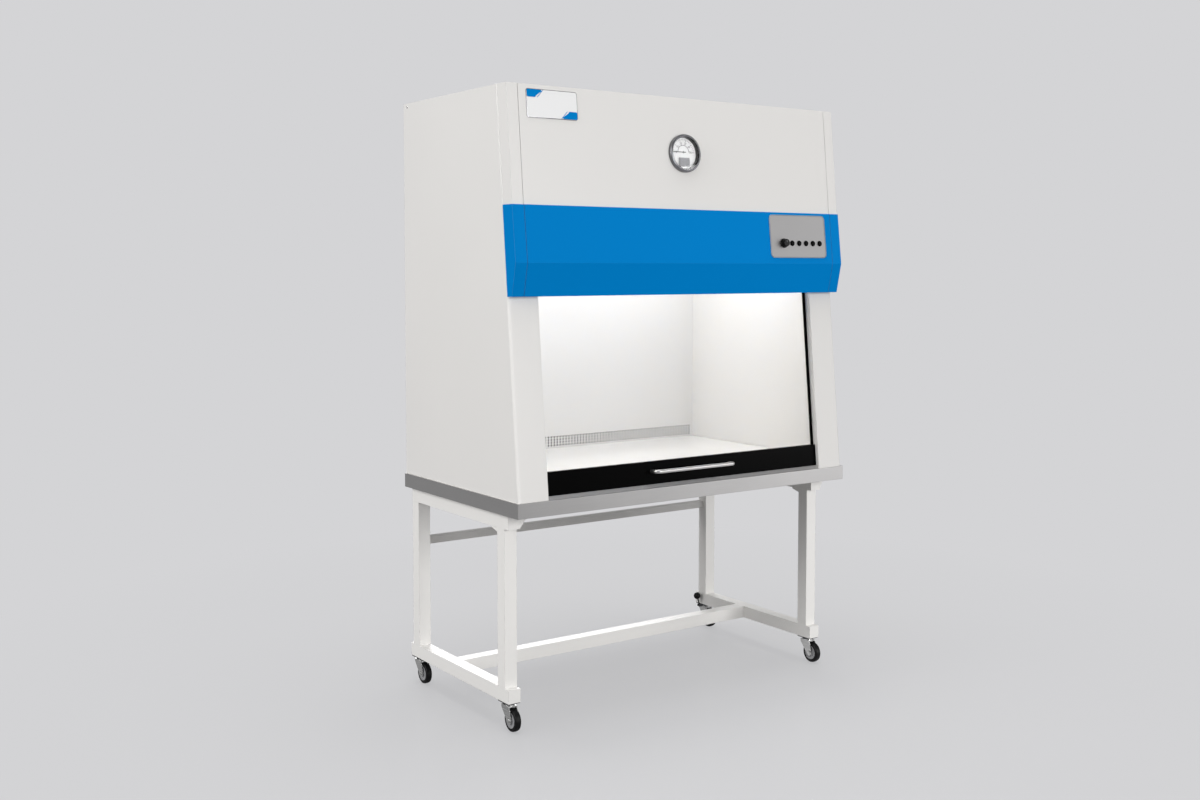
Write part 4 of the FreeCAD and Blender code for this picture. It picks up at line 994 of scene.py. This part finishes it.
class CABINET_OT_brackets(bpy.types.Operator):
    """Weld the brackets at the front ends of the top rails"""

    bl_idname = "cabinet.brackets"
    bl_label = "Brackets"

    def execute(self, context):
        sizes = context.scene.cabinet_sizes
        to_rear = Matrix(((0, 0, 1), (1, 0, 0), (0, 1, 0))).to_4x4()
        to_right = Matrix(((1, 0, 0), (0, 0, -1), (0, 1, 0))).to_4x4()
        tray_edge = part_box("work_tray")[1].x
        for side_name in SIDES:
            leg_low, leg_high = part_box(f"stand_leg_front_{side_name}")
            rail_low, rail_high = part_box(f"stand_top_rail_{side_name}")
            tube = leg_high.x - leg_low.x
            rear = bracket(
                f"rear_bracket_{side_name}", sizes.bracket_reach, sizes.bracket_drop, tube, sizes.bracket_tip
            )
            settle(rear, Matrix.Translation((leg_low.x, leg_high.y, rail_low.z)) @ to_rear)
            dress(rear, "stand_paint")
            drop = rail_high.z - rail_low.z
            reach = min(sizes.side_reach, tray_edge - rail_high.x - sizes.bracket_tip / 2)
            beside = bracket(f"side_bracket_{side_name}", reach, drop, tube, sizes.bracket_tip)
            settle(beside, Matrix.Translation((rail_high.x, rail_low.y + tube, rail_high.z)) @ to_right)
            dress(beside, "stand_paint")
        return {"FINISHED"}


# Pieces that studio lamps are kept off

INSIDE = ("inner_walls", "return_sheet", "work_surface", "sash_glass")
SHELL = tuple(name for name, slot in node_slots.items() if slot == "shell_paint")
STAND = tuple(name for name, slot in node_slots.items() if slot == "stand_paint")
SHADED = ("stand_rear_rail",)
CONTROL_FACE = ("control_plate", "control_border")
OFF_FRONT = ("floor", "work_tray", *SHADED, *CONTROL_FACE)
OFF_RIGHT = ("floor", *CONTROL_FACE, *SHELL)
OFF_REAR = ("floor", *SHADED)


class CABINET_OT_stage(bpy.types.Operator):
    """Set the floor, the lamps and the camera"""

    bl_idname = "cabinet.stage"
    bl_label = "Stage"

    def execute(self, context):
        studio = context.scene.cabinet_studio
        colours = context.scene.cabinet_finishes
        make_floor(colours.backdrop)
        make_world(colours.backdrop, studio.ambient)
        aim = Vector((0, 0, 1.0))
        for name, place, size, watts, spared in (
            ("side_lamp", (-9.0, -0.4, 4.6), 5.0, studio.side_power, ("floor",)),
            ("front_lamp", (1.2, -8.1, 2.2), 3.2, studio.front_power, OFF_FRONT),
            ("right_lamp", (7.5, -7.4, 2.4), 3.2, studio.right_power, OFF_RIGHT),
            ("rear_lamp", (3.2, 6.0, 3.4), 3.2, studio.rear_power, OFF_REAR),
            ("top_lamp", (0.0, 0.2, 7.2), 4.5, studio.top_power, STAND),
        ):
            bpy.ops.object.light_add(type="AREA", location=place)
            lamp = context.object
            lamp.name = name
            lamp.data.size = size
            lamp.data.energy = watts
            lamp.rotation_euler = (aim - lamp.location).to_track_quat("-Z", "Y").to_euler()
            keep_off(lamp, (*INSIDE, *spared))
        low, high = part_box("inner_walls")
        below_filter, wide, deep = 0.006, 0.9, 0.6
        bpy.ops.object.light_add(type="AREA", location=(0, (low.y + high.y) / 2, high.z - below_filter))
        lamp = context.object
        lamp.name = "chamber_lamp"
        lamp.data.shape = "RECTANGLE"
        lamp.data.size = wide * (high.x - low.x)
        lamp.data.size_y = deep * (high.y - low.y)
        lamp.data.energy = studio.chamber_power
        lamp.data.color = (1.0, 0.958, 0.905)
        lamp.visible_camera = False
        bpy.ops.object.camera_add(
            location=studio.camera_place,
            rotation=(math.radians(90) + studio.camera_pitch, 0, -studio.camera_yaw),
        )
        camera = context.object
        camera.data.lens = studio.camera_lens
        camera.data.sensor_width = FULL_FRAME
        camera.data.shift_y = studio.camera_shift
        context.scene.camera = camera
        context.scene.view_settings.view_transform = "Standard"
        return {"FINISHED"}


def keep_off(lamp, names):
    """Keep a studio lamp's light off these pieces, as a flag in a studio does."""
    spared = bpy.data.collections.new(f"spared_by_{lamp.name}")
    lamp.light_linking.receiver_collection = spared
    for name in names:
        spared.objects.link(bpy.data.objects[name])
    for item in spared.collection_objects:
        item.light_linking.link_state = "EXCLUDE"


def gloss_swing(tree, heading_from):
    """How bright the surroundings are where gloss mirrors them: bright to the front right alone."""
    heading = node(tree, "VectorMath", operation="DOT_PRODUCT")
    unit = node(tree, "VectorMath", operation="NORMALIZE")
    feed(tree, unit.inputs[0], heading_from)
    feed(tree, heading.inputs[0], unit.outputs[0])
    brightest, narrowness, dim, bright = (0.85, -0.53, 0.0), 12.0, 0.46, 1.25
    heading.inputs[1].default_value = brightest
    share = spread(tree, heading.outputs["Value"], -1.0, 1.0, 0.0, 1.0)
    swing = spread(tree, maths(tree, "POWER", share, narrowness), 0.0, 1.0, dim, bright)
    gloss = node(tree, "LightPath").outputs["Is Glossy Ray"]
    return spread(tree, gloss, 0.0, 1.0, 1.0, swing)


def shown_rays(tree):
    """1 for rays that show the backdrop: from the camera, in gloss and through glass."""
    path = node(tree, "LightPath").outputs
    seen = maths(tree, "MAXIMUM", path["Is Camera Ray"], path["Is Glossy Ray"])
    return maths(tree, "MAXIMUM", seen, path["Is Transmission Ray"])


def make_floor(tone):
    """A pale floor that keeps a light shadow and melts into the backdrop far out."""
    floor = start(bpy.ops.mesh.primitive_circle_add, "floor", vertices=96, radius=40, fill_type="NGON")
    material, tree, shader = new_material("floor")
    where = node(tree, "SeparateXYZ")
    feed(tree, where.inputs[0], object_place(tree))
    flat = node(tree, "CombineXYZ")
    feed(tree, flat.inputs[0], where.outputs["X"])
    feed(tree, flat.inputs[1], where.outputs["Y"])
    distance = node(tree, "VectorMath", operation="LENGTH")
    feed(tree, distance.inputs[0], flat.outputs[0])
    near, far_out, least_share = 0.7, 2.6, 0.66
    far = spread(tree, distance.outputs["Value"], near, far_out, least_share, 1.0)
    bounce = node(tree, "LightPath").outputs["Is Diffuse Ray"]
    pale, bounced = (0.87, 0.87, 0.882, 1.0), (0.40, 0.40, 0.41, 1.0)
    feed(tree, shader["Base Color"], mixed(tree, bounce, pale, bounced))
    shader["Roughness"].default_value = 0.30
    shader["Specular IOR Level"].default_value = 0.25
    glow = node(tree, "Emission")
    glow.inputs["Color"].default_value = opaque(tone)
    feed(tree, glow.inputs["Strength"], gloss_swing(tree, flat.outputs[0]))
    share = maths(tree, "MULTIPLY", far, shown_rays(tree))
    show_mix(tree, share, tree.nodes["Principled BSDF"].outputs[0], glow.outputs[0])
    floor.data.materials.append(material)


def make_world(tone, ambient):
    """An even backdrop, dimmer where gloss mirrors its left and rear, and a white ambient light."""
    world = bpy.data.worlds.new("studio")
    world.use_nodes = True
    bpy.context.scene.world = world
    tree = world.node_tree
    light = tree.nodes["Background"]
    light.inputs["Color"].default_value = (1, 1, 1, 1)
    light.inputs["Strength"].default_value = ambient
    seen = node(tree, "Background")
    heading = node(tree, "TexCoord").outputs["Generated"]
    feed(tree, seen.inputs["Strength"], gloss_swing(tree, heading))
    seen.inputs["Color"].default_value = opaque(tone)
    show_mix(tree, shown_rays(tree), light.outputs[0], seen.outputs[0], "World Output")


class CABINET_PT_panel(bpy.types.Panel):
    """The cabinet's settings and steps"""

    bl_label = "Laminar Flow Cabinet"
    bl_idname = "CABINET_PT_panel"
    bl_space_type = "VIEW_3D"
    bl_region_type = "UI"
    bl_category = "Cabinet"

    def draw(self, context):
        for settings in ("cabinet_sizes", "cabinet_finishes", "cabinet_studio"):
            box = self.layout.box()
            holder = getattr(context.scene, settings)
            for name in holder.__annotations__:
                box.prop(holder, name)
        for step in STEPS:
            self.layout.operator(step.bl_idname)


STEPS = (
    CABINET_OT_finishes,
    CABINET_OT_return_sheet,
    CABINET_OT_badge,
    CABINET_OT_dial,
    CABINET_OT_controls,
    CABINET_OT_screws,
    CABINET_OT_brackets,
    CABINET_OT_stage,
)
SETTINGS = {
    "cabinet_sizes": CabinetSizes,
    "cabinet_finishes": CabinetFinishes,
    "cabinet_studio": StudioSettings,
}


def register():
    for item in (*SETTINGS.values(), *STEPS, CABINET_PT_panel):
        bpy.utils.register_class(item)
    for name, kind in SETTINGS.items():
        setattr(bpy.types.Scene, name, bpy.props.PointerProperty(type=kind))


def unregister():
    for name in SETTINGS:
        delattr(bpy.types.Scene, name)
    for item in (CABINET_PT_panel, *reversed(STEPS), *reversed(SETTINGS.values())):
        bpy.utils.unregister_class(item)


def main():
    """Run every step."""
    register()
    for step in STEPS:
        family, name = step.bl_idname.split(".")
        getattr(getattr(bpy.ops, family), name)()


if __name__ == "__main__":
    main()
